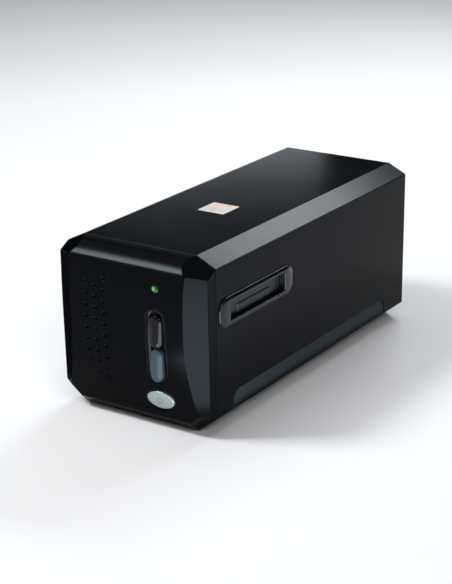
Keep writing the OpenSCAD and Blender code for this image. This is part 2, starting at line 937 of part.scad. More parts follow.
// A screw whose head is countersunk deep enough to stay inside the case's rear edge
module screw_rear() {
    difference() {
        union() {
            cylinder(r = screw_head_r, h = panel_sink - 0.3);
            translate([0, 0, -screw_len])
                cylinder(r = screw_r, h = screw_len + EPS);
        }
        for (a = [0, 90])
            rotate(a)
                translate([-screw_head_r * 0.6, -0.35, 0.5])
                    cube([screw_head_r * 1.2, 0.7, 1]);
    }
}

// ---- Sockets in the rear panel, on the main board ----

module usb_hole(gap) {
    block([socket_x - gap, panel_y - 14, usb_z - usb_h / 2 - gap],
        [socket_x + usb_w + gap, rear_y + 1, usb_z + usb_h / 2 + gap]);
}

module jack_hole(gap) {
    block([socket_x - gap, panel_y - 12, socket_z - jack_h / 2 - gap],
        [socket_x + jack_w + gap, rear_y + 1, socket_z + jack_h / 2 + gap]);
}

module usb_socket() {
    middle = socket_x + usb_w / 2;
    front = panel_y + panel_t;
    color([0.72, 0.73, 0.75])
        difference() {
            intersection() {
                usb_hole(0);
                block([-half_w, panel_y - 13, 0], [half_w, front, body_h]);
            }
            difference() {
                block([middle - usb_w / 2 + 1, front - 9, usb_z - usb_h / 2 + 1],
                    [middle + usb_w / 2 - 1, front + 1, usb_z + usb_h / 2 - 1]);
                block([middle - 1.6, front - 10, usb_z - 2.8],
                    [middle + 1.6, front - 1, usb_z + 2.8]);
            }
        }
}

module power_socket() {
    middle = socket_x + jack_w / 2;
    front = panel_y + panel_t;
    color([0.05, 0.05, 0.05])
        union() {
            difference() {
                intersection() {
                    jack_hole(0);
                    block([-half_w, panel_y - 11, 0], [half_w, front, body_h]);
                }
                y_rod(jack_r, front - 9.5, front + 1, middle, socket_z);
            }
            y_rod(1, front - 10, front - 0.8, middle, socket_z);
        }
}

// ---- Film slots, drawn for the right side ----

module slot_opening(x0, x1) {
    side_plate(slot_len, slot_h, opening_r, x0, x1);
}

// Its face rises from a low outer edge to a crest round the opening
module slot_frame() {
    sleeve_x = half_w - sleeve_d;
    rim = [frame_len / 2 - frame_corner, frame_h / 2 - frame_corner];
    crest = [slot_len / 2 + crest_w - crest_r, slot_h / 2 + crest_w - crest_r];
    color([0.06, 0.065, 0.08])
        difference() {
            union() {
                hull()
                    for (a = [-1, 1], b = [-1, 1]) {
                        x_rod(frame_corner, half_w, half_w + frame_edge,
                            slot_y + a * rim.x, slot_z + b * rim.y, 32);
                        x_rod(crest_r, half_w, half_w + frame_proud,
                            slot_y + a * crest.x, slot_z + b * crest.y, 32);
                    }
                block([sleeve_x, slot_y - sleeve_len / 2, slot_z - sleeve_h / 2],
                    [half_w + EPS, slot_y + sleeve_len / 2, slot_z + sleeve_h / 2]);
                // Snap lugs behind the case wall
                for (a = [-1, 1])
                    block([inner_x - 2.2, slot_y + a * (sleeve_len / 2 + 0.5) - 0.7, slot_z - 3],
                        [inner_x - 0.2, slot_y + a * (sleeve_len / 2 + 0.5) + 0.7, slot_z + 3]);
            }
            slot_opening(sleeve_x - 1, half_w + frame_proud + 1);
            y_rod(pin_r, slot_y - sleeve_len / 2 - 1, slot_y + sleeve_len / 2 + 1, pin_u, pin_z);
        }
}

module right_slot_frame() {
    slot_frame();
}

module left_slot_frame() {
    mirror([1, 0, 0])
        slot_frame();
}

// A door hangs from its pin just inside the opening
module door() {
    color([0.10, 0.11, 0.13])
        difference() {
            union() {
                block([inner_x - door_t, slot_y - door_len / 2, door_low],
                    [inner_x, slot_y + door_len / 2, pin_z]);
                y_rod(barrel_r, slot_y - door_len / 2, slot_y + door_len / 2, pin_u, pin_z);
                // Finger pad
                block([inner_x - EPS, slot_y - pad_len / 2, door_low + 0.6],
                    [inner_x + pad_t, slot_y + pad_len / 2, door_low + 0.6 + pad_h]);
            }
            y_rod(pin_r + run_gap, slot_y - door_len, slot_y + door_len, pin_u, pin_z);
            // Room for the spring
            block([pin_u - barrel_r - 1, slot_y - spring_len / 2 - 0.4, pin_z - barrel_r - 0.5],
                [inner_x - 0.4, slot_y + spring_len / 2 + 0.4, pin_z + barrel_r + 1]);
        }
}

module right_door() {
    door();
}

module left_door() {
    mirror([1, 0, 0])
        door();
}

module door_pins() {
    color([0.7, 0.7, 0.72])
        for (s = [0, 1])
            mirror([s, 0, 0])
                y_rod(pin_r - 0.01, slot_y - sleeve_len / 2, slot_y + sleeve_len / 2,
                    pin_u, pin_z);
}

// The coil round the pin, with a leg on the sleeve's roof and one behind the door
module door_spring() {
    wire = 0.5;
    coil_r = pin_r + 0.1;
    color([0.75, 0.75, 0.76])
        union() {
            difference() {
                y_rod(coil_r + wire, slot_y - spring_len / 2, slot_y + spring_len / 2,
                    pin_u, pin_z);
                y_rod(coil_r, slot_y - spring_len, slot_y + spring_len, pin_u, pin_z);
            }
            block([pin_u - coil_r - wire, slot_y - spring_len / 2, pin_z],
                [pin_u - coil_r, slot_y - spring_len / 2 + wire, slot_z + slot_h / 2 - 0.1]);
            block([pin_u - wire / 2, slot_y + spring_len / 2 - wire, pin_z - 4],
                [pin_u + wire / 2, slot_y + spring_len / 2, pin_z - coil_r - wire / 2]);
        }
}

module right_door_spring() {
    door_spring();
}

module left_door_spring() {
    mirror([1, 0, 0])
        door_spring();
}

// ---- Chassis and film channel ----

module chassis_plate() {
    color([0.65, 0.66, 0.68])
        difference() {
            block([-plate_half, plate_front, plate_z], [plate_half, plate_rear, plate_top]);
            chassis_screw_places()
                translate([0, 0, -plate_t - 1])
                    cylinder(r = screw_r + 0.1, h = plate_t + 2);
        }
}

module chassis_screws() {
    color([0.6, 0.6, 0.62])
        chassis_screw_places()
            screw();
}

// A folded sheet stand that carries the film guides beside the scan head
module guide_stand() {
    color([0.6, 0.61, 0.63])
        union() {
            block([stand_x, slot_y - guide_d / 2, plate_top],
                [stand_x + stand_t, slot_y + guide_d / 2, guide_low]);
            block([stand_x, slot_y - guide_d / 2 + 8, plate_top],
                [stand_x + stand_foot, slot_y + guide_d / 2, plate_top + stand_t]);
            block([stand_x, slot_y - guide_d / 2, guide_low - stand_t],
                [stand_x + stand_foot, slot_y + guide_d / 2, guide_low]);
        }
}

module right_guide_stand() {
    guide_stand();
}

module left_guide_stand() {
    mirror([1, 0, 0])
        guide_stand();
}

// Half of the film channel: a plate with a window and a rail along each edge
module film_guide() {
    difference() {
        block([-channel_len / 2, slot_y - guide_d / 2, guide_low],
            [channel_len / 2, slot_y + guide_d / 2, channel_z]);
        block([-channel_len / 2 - 1, slot_y - channel_w / 2, guide_low + guide_t],
            [channel_len / 2 + 1, slot_y + channel_w / 2, channel_z + 1]);
        block([-window_w / 2, slot_y - window_d / 2, guide_low - 1],
            [window_w / 2, slot_y + window_d / 2, channel_z]);
    }
}

module lower_film_guide() {
    color([0.15, 0.15, 0.16])
        film_guide();
}

module upper_film_guide() {
    color([0.15, 0.15, 0.16])
        difference() {
            translate([0, 0, 2 * channel_z])
                mirror([0, 0, 1])
                    film_guide();
            // Window of the detent
            block([-4.4, slot_y + channel_w / 2 - 5, channel_z],
                [4.4, slot_y + channel_w / 2 - 1, guide_top + 1]);
        }
}

// Leaf spring on the upper guide whose nose clicks into the holder's notches
module holder_detent() {
    nose_y = slot_y + channel_w / 2 - 3;
    color([0.75, 0.75, 0.76])
        union() {
            block([-3, nose_y - 3, guide_top], [26, nose_y + 3, guide_top + 0.5]);
            intersection() {
                y_rod(4, nose_y - 1.7, nose_y + 1.7, 0, guide_top + 0.5);
                block([-4, nose_y - 2, guide_top - guide_t - 0.5], [4, nose_y + 2, guide_top + 0.5]);
            }
        }
}

// ---- Scan head ----

module guide_rods() {
    color([0.8, 0.8, 0.82])
        for (s = [-1, 1])
            y_rod(rod_r, rod_front, rod_rear, s * rod_x, rod_z);
}

module rod_blocks() {
    color([0.2, 0.2, 0.22])
        for (s = [-1, 1], y = [rod_front, rod_rear - block_d])
            difference() {
                block([s * rod_x - 6, y, plate_top], [s * rod_x + 6, y + block_d, rod_z + 6]);
                y_rod(rod_r, y - 1, y + block_d + 1, s * rod_x, rod_z);
            }
}

module head_tray() {
    color([0.12, 0.12, 0.13])
        difference() {
            union() {
                block([-tray_half, tray_front, tray_z], [tray_half, tray_rear, tray_top]);
                for (s = [-1, 1], y = bush_ys)
                    block([s * rod_x - housing_r, y, rod_z - housing_r],
                        [s * rod_x + housing_r, y + bush_len, tray_z + 1]);
                // Flag that trips the home sensor
                block([12, tray_front + 3, lead_z], [13, tray_front + 9, tray_z + 1]);
            }
            for (s = [-1, 1], y = bush_ys)
                y_rod(bush_r, y - 1, y + bush_len + 1, s * rod_x, rod_z);
        }
}

module rod_bushes() {
    color([0.72, 0.55, 0.25])
        for (s = [-1, 1], y = bush_ys)
            difference() {
                y_rod(bush_r, y, y + bush_len, s * rod_x, rod_z);
                y_rod(rod_r + run_gap, y - 1, y + bush_len + 1, s * rod_x, rod_z);
            }
}

// The mirror's face leans at 45 degrees and passes through the optical axis
module mirror_block() {
    half = mirror_len / 2 * sin(45);
    back = mirror_t * sin(45);
    color([0.12, 0.12, 0.13])
        translate([mirror_w / 2, 0, 0])
            rotate([90, 0, -90])
                linear_extrude(mirror_w)
                    polygon([[-line_y + 14, tray_top], [-line_y + back - half, tray_top],
                        [-line_y + back - half, axis_z - back - half],
                        [-line_y + back + half, axis_z - back + half],
                        [-line_y + 14, axis_z - back + half]]);
}

module fold_mirror() {
    color([0.8, 0.85, 0.9])
        translate([0, line_y, axis_z])
            rotate([-45, 0, 0])
                block([-mirror_w / 2, -mirror_len / 2, -mirror_t],
                    [mirror_w / 2, mirror_len / 2, 0]);
}

module lens_barrel() {
    y0 = line_y + lens_back;
    color([0.06, 0.06, 0.07])
        difference() {
            union() {
                y_rod(lens_r, y0, y0 + lens_len, 0, axis_z);
                y_rod(lens_r + 1, y0, y0 + 4, 0, axis_z);
            }
            y_rod(lens_bore, y0 - 1, y0 + lens_len + 1, 0, axis_z);
        }
}

module lens_elements() {
    color([0.75, 0.85, 0.9])
        for (s = [0, 1])
            translate([0, line_y + lens_back + lens_len / 2, axis_z])
                mirror([0, s, 0])
                    translate([0, lens_len / 2 - 7, 0])
                        intersection() {
                            y_rod(lens_bore, 0, 6, 0, 0);
                            translate([0, 6 - 2.5 * lens_bore, 0])
                                sphere(2.5 * lens_bore, $fn = 96);
                        }
}

module lens_clamp() {
    y0 = line_y + lens_back + 7;
    color([0.5, 0.51, 0.53])
        difference() {
            block([-lens_r - 4, y0, tray_top], [lens_r + 4, y0 + clamp_d, axis_z + lens_r + 3]);
            y_rod(lens_r, y0 - 1, y0 + clamp_d + 1, 0, axis_z);
        }
}

module sensor_bracket() {
    color([0.6, 0.61, 0.63])
        union() {
            block([-sensor_board_half, sensor_y + board_t, tray_top],
                [sensor_board_half, sensor_y + board_t + 2, axis_z + sensor_board_up]);
            block([-sensor_board_half, sensor_y + board_t, tray_top],
                [sensor_board_half, tray_rear, tray_top + 2]);
        }
}

module sensor_board() {
    color([0.1, 0.35, 0.2])
        block([-sensor_board_half, sensor_y, tray_top + 1],
            [sensor_board_half, sensor_y + board_t, axis_z + 16]);
}

module image_sensor() {
    color([0.2, 0.2, 0.22])
        block([-24, sensor_y - sensor_t, axis_z - 4], [24, sensor_y, axis_z + 4]);
}

// Two legs behind the film channel and a plate over it, up to the lamp
module lamp_arm() {
    color([0.14, 0.14, 0.15])
        union() {
            for (s = [0, 1])
                mirror([s, 0, 0])
                    block([tray_half - leg_w, leg_y, tray_top],
                        [tray_half, leg_y + leg_d, arm_z + arm_t]);
            block([-tray_half, line_y + lamp_d / 2, arm_z], [tray_half, leg_y + leg_d, arm_z + arm_t]);
        }
}

module lamp_housing() {
    color([0.2, 0.2, 0.21])
        difference() {
            block([-lamp_w / 2, line_y - lamp_d / 2, lamp_z],
                [lamp_w / 2, line_y + lamp_d / 2, lamp_z + lamp_h]);
            block([-lamp_w / 2 + lamp_wall, line_y - lamp_d / 2 + lamp_wall, lamp_z - 1],
                [lamp_w / 2 - lamp_wall, line_y + lamp_d / 2 - lamp_wall,
                    lamp_z + lamp_h - lamp_wall]);
        }
}

module lamp_board() {
    in_x = lamp_w / 2 - lamp_wall;
    in_y = lamp_d / 2 - lamp_wall;
    top = lamp_z + lamp_h - lamp_wall;
    color([0.85, 0.86, 0.84])
        union() {
            block([-in_x, line_y - in_y, top - board_t], [in_x, line_y + in_y, top]);
            for (i = [-4:4])
                block([i * 5 - 1.4, line_y - 1.4, top - board_t - 1],
                    [i * 5 + 1.4, line_y + 1.4, top - board_t + EPS]);
        }
}

module lamp_diffuser() {
    in_x = lamp_w / 2 - lamp_wall;
    in_y = lamp_d / 2 - lamp_wall;
    color([0.95, 0.96, 0.95])
        block([-in_x, line_y - in_y, lamp_z + 0.4], [in_x, line_y + in_y, lamp_z + 2.4]);
}

// ---- Drive ----

module lead_nut() {
    color([0.9, 0.9, 0.86])
        difference() {
            block([-8, nut_y, lead_z - 7], [8, nut_y + nut_len, tray_z]);
            y_rod(lead_r + run_gap, nut_y - 1, nut_y + nut_len + 1, 0, lead_z);
        }
}

module lead_screw() {
    color([0.75, 0.75, 0.77])
        y_rod(lead_r, lead_front, lead_rear, 0, lead_z);
}

module screw_bearing() {
    color([0.2, 0.2, 0.22])
        difference() {
            block([-7, lead_front, plate_top], [7, lead_front + 6, lead_z + 4.5]);
            y_rod(lead_r + run_gap, lead_front - 1, lead_front + 7, 0, lead_z);
        }
}

// The motor's nose carries the rear end of the lead screw
module stepper_motor() {
    color([0.35, 0.36, 0.38])
        difference() {
            union() {
                y_rod(motor_r, motor_y, motor_y + motor_len, 0, lead_z);
                y_rod(motor_nose_r, motor_y - nose_len, motor_y + 1, 0, lead_z);
                block([-8, motor_y + 6, lead_z + motor_r - 3],
                    [8, motor_y + motor_len - 3, lead_z + motor_r + 3]);
            }
            y_rod(lead_r + run_gap, motor_y - nose_len - 1, lead_rear + 0.3, 0, lead_z);
        }
}

module motor_bracket() {
    color([0.6, 0.61, 0.63])
        difference() {
            union() {
                block([-bracket_half, motor_y - bracket_t, plate_top],
                    [bracket_half, motor_y, lead_z + motor_r + 2]);
                block([-bracket_half, motor_y - bracket_foot, plate_top],
                    [bracket_half, motor_y, plate_top + bracket_t]);
            }
            y_rod(motor_nose_r, motor_y - bracket_t - 1, motor_y + 1, 0, lead_z);
        }
}

module home_sensor() {
    y0 = tray_front + 1;
    color([0.07, 0.07, 0.08])
        difference() {
            block([8, y0, plate_top], [17, y0 + 10, tray_z - 1]);
            block([11.2, y0 - 1, lead_z - 2], [13.8, y0 + 11, tray_z]);
        }
}

// ---- Electronics ----

module board_standoff_places() {
    for (y = [main_front + 6, main_rear - 20], z = [main_low + 7, main_high - 7])
        translate([-inner_x, y, z])
            rotate([0, 90, 0])
                children();
}

module main_board() {
    color([0.1, 0.35, 0.2])
        block([main_x, main_front, main_low], [main_x + board_t, main_rear, main_high]);
}

module board_standoffs() {
    color([0.75, 0.65, 0.35])
        board_standoff_places()
            cylinder(r = 2.6, h = main_x + inner_x, $fn = 6);
}

// A chip of the given length, width and thickness on the main board
module chip(size, y, z) {
    block([socket_x, y, z], [socket_x + size.z, y + size.x, z + size.y]);
}

module board_chips() {
    color([0.12, 0.12, 0.13]) {
        chip(main_chip, chip_y, chip_z);
        chip(small_chip, chip_y + main_chip.x + 8, chip_z + 6);
        for (i = [0:2])
            translate([socket_x, chip_y + (i - 1) * 3.5 * capacitor_r, capacitor_z])
                rotate([0, 90, 0])
                    cylinder(r = capacitor_r, h = 2 * capacitor_r);
        chip([4, cable_w + 4, cable_plug], cable_y, axis_z - 2);
    }
}

// Flat cable from the main board back, round and forward to the sensor board
module sensor_cable() {
    low = axis_z;
    high = axis_z + cable_w;
    near = socket_x + cable_plug;
    far = near + 2 * cable_turn;
    end_y = sensor_y + board_t / 2;
    color([0.85, 0.87, 0.9])
        union() {
            block([near, cable_y + 2, low], [near + cable_t, cable_turn_y, high]);
            intersection() {
                difference() {
                    translate([near + cable_turn, cable_turn_y, low])
                        cylinder(r = cable_turn, h = cable_w);
                    translate([near + cable_turn, cable_turn_y, low - 1])
                        cylinder(r = cable_turn - cable_t, h = cable_w + 2);
                }
                block([near - 1, cable_turn_y - EPS, low - 1],
                    [far + 1, cable_turn_y + cable_turn + 1, high + 1]);
            }
            block([far - cable_t, end_y, low], [far, cable_turn_y, high]);
            block([far - cable_t, end_y, low], [-sensor_board_half, end_y + cable_t, high]);
        }
}

lower_case();
top_cover();
front_bezel();
rear_panel();
rear_screws();
rubber_feet();
top_label();
right_slot_frame();
left_slot_frame();
right_door();
left_door();
door_pins();
right_door_spring();
left_door_spring();
button_well();
power_well();
upper_scan_button();
lower_scan_button();
power_button();
light_pipe();
status_led();
tact_switches();
button_board();
board_screws();
usb_socket();
power_socket();
chassis_plate();
chassis_screws();
right_guide_stand();
left_guide_stand();
lower_film_guide();
upper_film_guide();
holder_detent();
guide_rods();
rod_blocks();
head_tray();
rod_bushes();
mirror_block();
fold_mirror();
lens_barrel();
lens_elements();
lens_clamp();
sensor_bracket();
sensor_board();
image_sensor();
lamp_arm();
lamp_housing();
lamp_board();
lamp_diffuser();
lead_nut();
lead_screw();
screw_bearing();
stepper_motor();
motor_bracket();
home_sensor();
main_board();
board_standoffs();
board_chips();
sensor_cable();
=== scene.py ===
"""The looks of a desktop film scanner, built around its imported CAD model.

Lengths in the code are millimetres, in the frame of the CAD model: X to the right,
Y to the back, Z up. They become metres when a mesh is made.
"""

import math

import bmesh
import bpy
from bpy.props import FloatProperty, FloatVectorProperty, PointerProperty
from mathutils import Matrix, Vector


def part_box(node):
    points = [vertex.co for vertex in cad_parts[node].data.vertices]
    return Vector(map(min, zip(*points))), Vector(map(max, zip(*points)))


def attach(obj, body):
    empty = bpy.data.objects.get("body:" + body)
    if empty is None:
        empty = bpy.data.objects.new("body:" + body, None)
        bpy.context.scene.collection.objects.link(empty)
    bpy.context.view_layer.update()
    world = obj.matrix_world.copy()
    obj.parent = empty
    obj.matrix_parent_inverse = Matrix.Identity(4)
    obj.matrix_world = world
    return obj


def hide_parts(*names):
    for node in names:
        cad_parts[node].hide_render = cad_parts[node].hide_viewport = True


bl_info = {
    "name": "Film Scanner Looks",
    "version": (1, 0, 0),
    "blender": (4, 5, 0),
    "location": "3D View > Sidebar > Film Scanner",
    "description": "Builds the visible pieces and finishes of a desktop film scanner",
    "category": "Object",
}

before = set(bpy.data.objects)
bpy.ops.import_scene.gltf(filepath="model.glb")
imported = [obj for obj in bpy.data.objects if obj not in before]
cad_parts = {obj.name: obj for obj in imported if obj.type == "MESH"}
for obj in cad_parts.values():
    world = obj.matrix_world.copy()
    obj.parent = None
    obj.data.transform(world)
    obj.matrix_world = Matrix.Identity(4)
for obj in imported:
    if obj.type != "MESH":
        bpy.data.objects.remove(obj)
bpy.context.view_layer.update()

MM = 0.001


def box_mm(node):
    """Lowest and highest corner of a CAD node, in millimetres"""
    low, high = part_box(node)
    return low / MM, high / MM


# ---- Places of the case, its seams and its openings ----

BEZEL_LOW, BEZEL_HIGH = box_mm("front_bezel")
TOP_HIGH = box_mm("top_cover")[1]
HALF_W = BEZEL_HIGH.x
FRONT_Y = BEZEL_LOW.y
REAR_Y = TOP_HIGH.y
BASE_Z = BEZEL_LOW.z
TOP_Z = TOP_HIGH.z
SEAM_Y = FRONT_Y + 17
WALL = 2.5
FIT_GAP = 0.15
# Reach and wall of the bezel's lip inside the shells
LIP_D, LIP_T = 4, 1.5
# The sloping strips beside the top and the chamfers under the sides, across and up
SLOPE_W, SLOPE_H = 14, 6.8
UNDER_W, UNDER_H = 12.6, 10
SPLIT_Z = TOP_Z - SLOPE_H
# Nearer to the outline than this, a point is on the case's skin
ON_SKIN = 0.05

# The finger grips: heights of their lower and upper edge, their depth, and how far from the
# middle along Y their floor is painted paler: a painted highlight for light from above
GRIP_LOW, GRIP_HIGH = BASE_Z + UNDER_H, BASE_Z + 22
GRIP_D = 2
GRIP_REACH = 112

# The face: height of its crown, its radius, and the radius where the bevels end at the sides
CROWN_Z = 80
FACE_R, EDGE_R = 400, 600
BEVEL_W, BEVEL_D = 13.8, 8
FACE_X = HALF_W - BEVEL_W
BROW_Z = 110.5
BROW_R = 26
# Flat land between the brow and the seam, and what a body has past the seam before it is cut
SEAM_LAND = 0.4
SEAM_SPARE = 5
CREASE_H, CREASE_D = 0.5, 0.45
# Where the chin meets the face, the floor and the side
CHIN_FACE = Vector((FACE_X, -129.52, 8.3))
CHIN_FOOT = Vector((HALF_W - UNDER_W, FRONT_Y + 14.5, BASE_Z))
CHIN_SIDE = Vector((HALF_W, -124.35, 13.9))

CONTROL_X = 23
LIGHT_LOW, LIGHT_HIGH = box_mm("light_pipe")
LIGHT_Z = (LIGHT_LOW.z + LIGHT_HIGH.z) / 2
LIGHT_W = 5
# The brightest point of the lit lens, a little up and left of its middle: a painted highlight on
# its glow
GLOW_AND_GLINT_X, GLOW_AND_GLINT_Z = CONTROL_X - 0.9, LIGHT_Z + 0.3
POCKET_W, POCKET_LEN, POCKET_Z, POCKET_D = 15.2, 52, 59.2, 3.2
WELL_FLOOR, WELL_LIP = 1.4, 1.4
BUTTON_W, BUTTON_LEN, BUTTON_SIDE = 9.2, 22.2, 0.25
KEY_Y = box_mm("upper_scan_button")[0].y
POWER_PROUD, POWER_DOME = 1, 0.35
LOWER_Z, UPPER_Z = 46.1, 69.1
BUTTON_ROUND = 9.5
FLANGE_W, FLANGE_T, FLANGE_DEPTH = 0.9, 1.2, 4.9
STEM_R = 1.6
STEM_END = box_mm("lower_scan_button")[1].y
POWER_W, POWER_H, POWER_Z, POWER_RIM = 25, 16, 21.2, 2
# For each column of dimples: place across, lowest and highest dimple, how many
DIMPLE_COLUMNS = ((-32, 38.4, 93.8, 8), (-24.6, 31.8, 91.8, 9), (-17.3, 27.9, 97.5, 10))
POST_X, POST_R, SCREW_R = 12.5, 3, 1.4
POST_ZS = (41, 88)
PILOT_DEPTH = 6
BOARD_Y = SEAM_Y + LIP_D - 2.5

FRAME_LOW, FRAME_HIGH = box_mm("right_slot_frame")
SLOT_Y = (FRAME_LOW.y + FRAME_HIGH.y) / 2
SLOT_Z = (FRAME_LOW.z + FRAME_HIGH.z) / 2
FRAME_LEN = FRAME_HIGH.y - FRAME_LOW.y
FRAME_H = FRAME_HIGH.z - FRAME_LOW.z
FRAME_CORNER = 7.5
SLOT_LEN, SLOT_H = 66, 13.2
FRAME_EDGE, CREST_W, CREST_R = 1, 0.8, 1.6
SLEEVE_T, SLEEVE_EASE = 1.9, 0.3
LUG_T, LUG_H, LUG_REACH = 1.4, 6, 2

LABEL_LOW, LABEL_HIGH = box_mm("top_label")

# ---- Camera of the photograph, fitted to its edges ----

CAMERA_AZIMUTH = 33.538
CAMERA_ELEVATION = 19.903
CAMERA_ROLL = -0.648
CAMERA_OFFSET = (11.315, 9.315, 1118.043)
CAMERA_AIM = Vector((0, 0.6, 59.5))
CAMERA_LENS = 97.50

# ---- Stage: soft lights that face the case, lights that lie flat, and a black card ----

# Name, direction from the case, distance and size in metres, setting of the power, tone
SOFTBOXES = (
    ("rear_softbox", (-0.05, 0.78, 0.62), 1.5, (0.9, 0.3), "rear_power", (0.93, 0.97, 1.0)),
    ("low_softbox", (-0.57, 0.80, 0.25), 1.0, (0.3, 0.1), "low_power", (0.85, 0.94, 1.0)),
    ("front_softbox", (-0.52, -0.40, 0.75), 1.5, (0.34, 0.36), "front_power", (0.97, 0.99, 1.0)),
    ("fill_softbox", (0.75, -0.62, 0.66), 1.6, (0.9, 0.6), "fill_power", (1.0, 1.0, 1.0)),
    ("overhead_softbox", (-0.25, -0.1, 1.0), 2.4, (2.6, 2.6), "roof_power", (1.0, 1.0, 1.0)),
)
FACE_DOWN = (0, 0, 0)
CARD_TURN = (math.pi, 0, math.radians(27))
# Name, place in metres, turn, size in metres, setting of the power, tone
FLAT_LIGHTS = (
    ("floor_softbox", (-1.1, 1.7, 1.9), FACE_DOWN, (2.0, 1.6), "floor_power", (1.0, 1.0, 1.0)),
    ("reflector_card", (0.17, -0.28, 0.004), CARD_TURN, (0.28, 0.3), "card_power",
     (0.92, 0.97, 1.0)),
)
FLAG_X, FLAG_Y, FLAG_W, FLAG_LEN, FLAG_CORNER = -300, 20, 430, 370, 20
FLAG_LOW, FLAG_HIGH = 3, 4


# ---- Settings a user would change ----


def length(name, text, millimetres, low=0.0, high=1000.0):
    """A length property in metres, given in millimetres"""
    return FloatProperty(
        name=name,
        description=text,
        default=millimetres * MM,
        min=low * MM,
        max=high * MM,
        unit="LENGTH",
        subtype="DISTANCE",
        precision=5,
    )


def colour(name, text, red, green, blue):
    """A colour property"""
    return FloatVectorProperty(
        name=name,
        description=text,
        default=(red, green, blue),
        size=3,
        min=0.0,
        max=1.0,
        subtype="COLOR",
    )


def share(name, text, value):
    """A number from 0 to 1"""
    return FloatProperty(
        name=name, description=text, default=value, min=0.0, max=1.0, subtype="FACTOR"
    )


def strength(name, text, value):
    """How strongly a surface or the surroundings shine"""
    return FloatProperty(name=name, description=text, default=value, min=0.0, max=10.0)


def watts(name, text, value):
    """Power of a light"""
    return FloatProperty(
        name=name, description=text, default=value, min=0.0, max=1000.0, unit="POWER"
    )


class CaseSettings(bpy.types.PropertyGroup):
    """Edges, grain and colours of the case"""

    edge_radius: length("Edge radius", "Radius of the long edges of the case", 0.7, 0.1, 2)
    seam_radius: length("Seam radius", "Radius of the edges along the seams", 0.4, 0.05, 1)
    dimple_depth: length("Dimple depth", "Depth of the dimples in the face", 0.75, 0.1, 1)
    dimple_radius: length("Dimple radius", "Radius of a dimple's mouth", 1.7, 0.5, 2)
    grain_size: length("Grain size", "Size of the moulded grain", 0.5, 0.1, 3)
    grain_depth: length("Grain depth", "Depth of the moulded grain", 0.014, 0.0, 0.2)
    case_colour: colour("Case", "Colour of the case shells", 0.0012, 0.0017, 0.0032)
    # Painted highlight: the grips' floor painted paler for the light it catches from overhead
    grip_painted_light: colour("Grips", "Colour of the finger grips' floor", 0.028, 0.043, 0.049)
    bezel_colour: colour("Bezel", "Colour of the front bezel", 0.0002, 0.0003, 0.0007)
    gloss_level: share("Gloss level", "Specular level of the moulded plastic", 0.055)
    label_colour: colour("Label", "Colour of the label's paper", 0.62, 0.57, 0.53)


class ControlSettings(bpy.types.PropertyGroup):
    """Shapes and colours of the buttons and the status light"""

    rim_radius: length("Rim radius", "Radius of the rims of the wells", 0.2, 0.05, 0.4)
    bevel_depth: length("Rim bevel", "Drop of the bevel round the buttons", 0.32, 0.1, 1.0)
    button_edge: length("Button edge", "Radius of the edges of the buttons", 0.6, 0.1, 1.5)
    upper_colour: colour("Upper button", "Colour of the upper scan button", 0.003, 0.003, 0.004)
    lower_colour: colour("Lower button", "Colour of the lower scan button", 0.022, 0.034, 0.039)
    power_colour: colour("Power button", "Colour of the power button", 0.26, 0.31, 0.31)
    light_colour: colour("Status light", "Colour of the status light", 0.03, 0.22, 0.03)
    light_glow: strength("Glow", "Strength of the status light's glow", 0.6)


class SlotSettings(bpy.types.PropertyGroup):
    """Shapes of the film slots' frames and doors"""

    rim_round: length("Rim round", "Radius of the outer edge of a frame", 0.45, 0.2, 0.8)
    crest_round: length("Crest round", "Radius of the crest of a frame", 0.5, 0.2, 0.7)
    swell: length("Swell", "How far the frame's slopes bulge", 0.35, 0.0, 0.5)
    door_edge: length("Door edge", "Radius of the edges of the doors", 0.3, 0.05, 0.5)


class StageSettings(bpy.types.PropertyGroup):
    """Floor, lights and their strengths"""

    floor_size: length("Floor", "Side of the floor", 12000, 1000, 40000)
    floor_colour: colour("Floor colour", "Colour of the floor", 0.86, 0.86, 0.87)
    sky_colour: colour("Surroundings", "Colour of the light all round", 0.72, 0.84, 1.0)
    sky_strength: strength("Surroundings strength", "Strength of the light all round", 0.03)
    rear_power: watts("Rear softbox", "Power of the softbox behind", 11)
    low_power: watts("Low softbox", "Power of the low softbox behind on the left", 0.17)
    front_power: watts("Front softbox", "Power of the softbox in front on the left", 16)
    fill_power: watts("Fill softbox", "Power of the softbox in front on the right", 9)
    roof_power: watts("Overhead softbox", "Power of the softbox overhead", 15)
    floor_power: watts("Floor softbox", "Power of the softbox over the far floor", 5)
    card_power: watts("Reflector card", "Power of the card on the floor in front", 2.7)


def case_settings():
    return bpy.context.scene.scanner_case


def control_settings():
    return bpy.context.scene.scanner_controls


def slot_settings():
    return bpy.context.scene.scanner_slots


def stage_settings():
    return bpy.context.scene.scanner_stage


# ---- Finishes ----


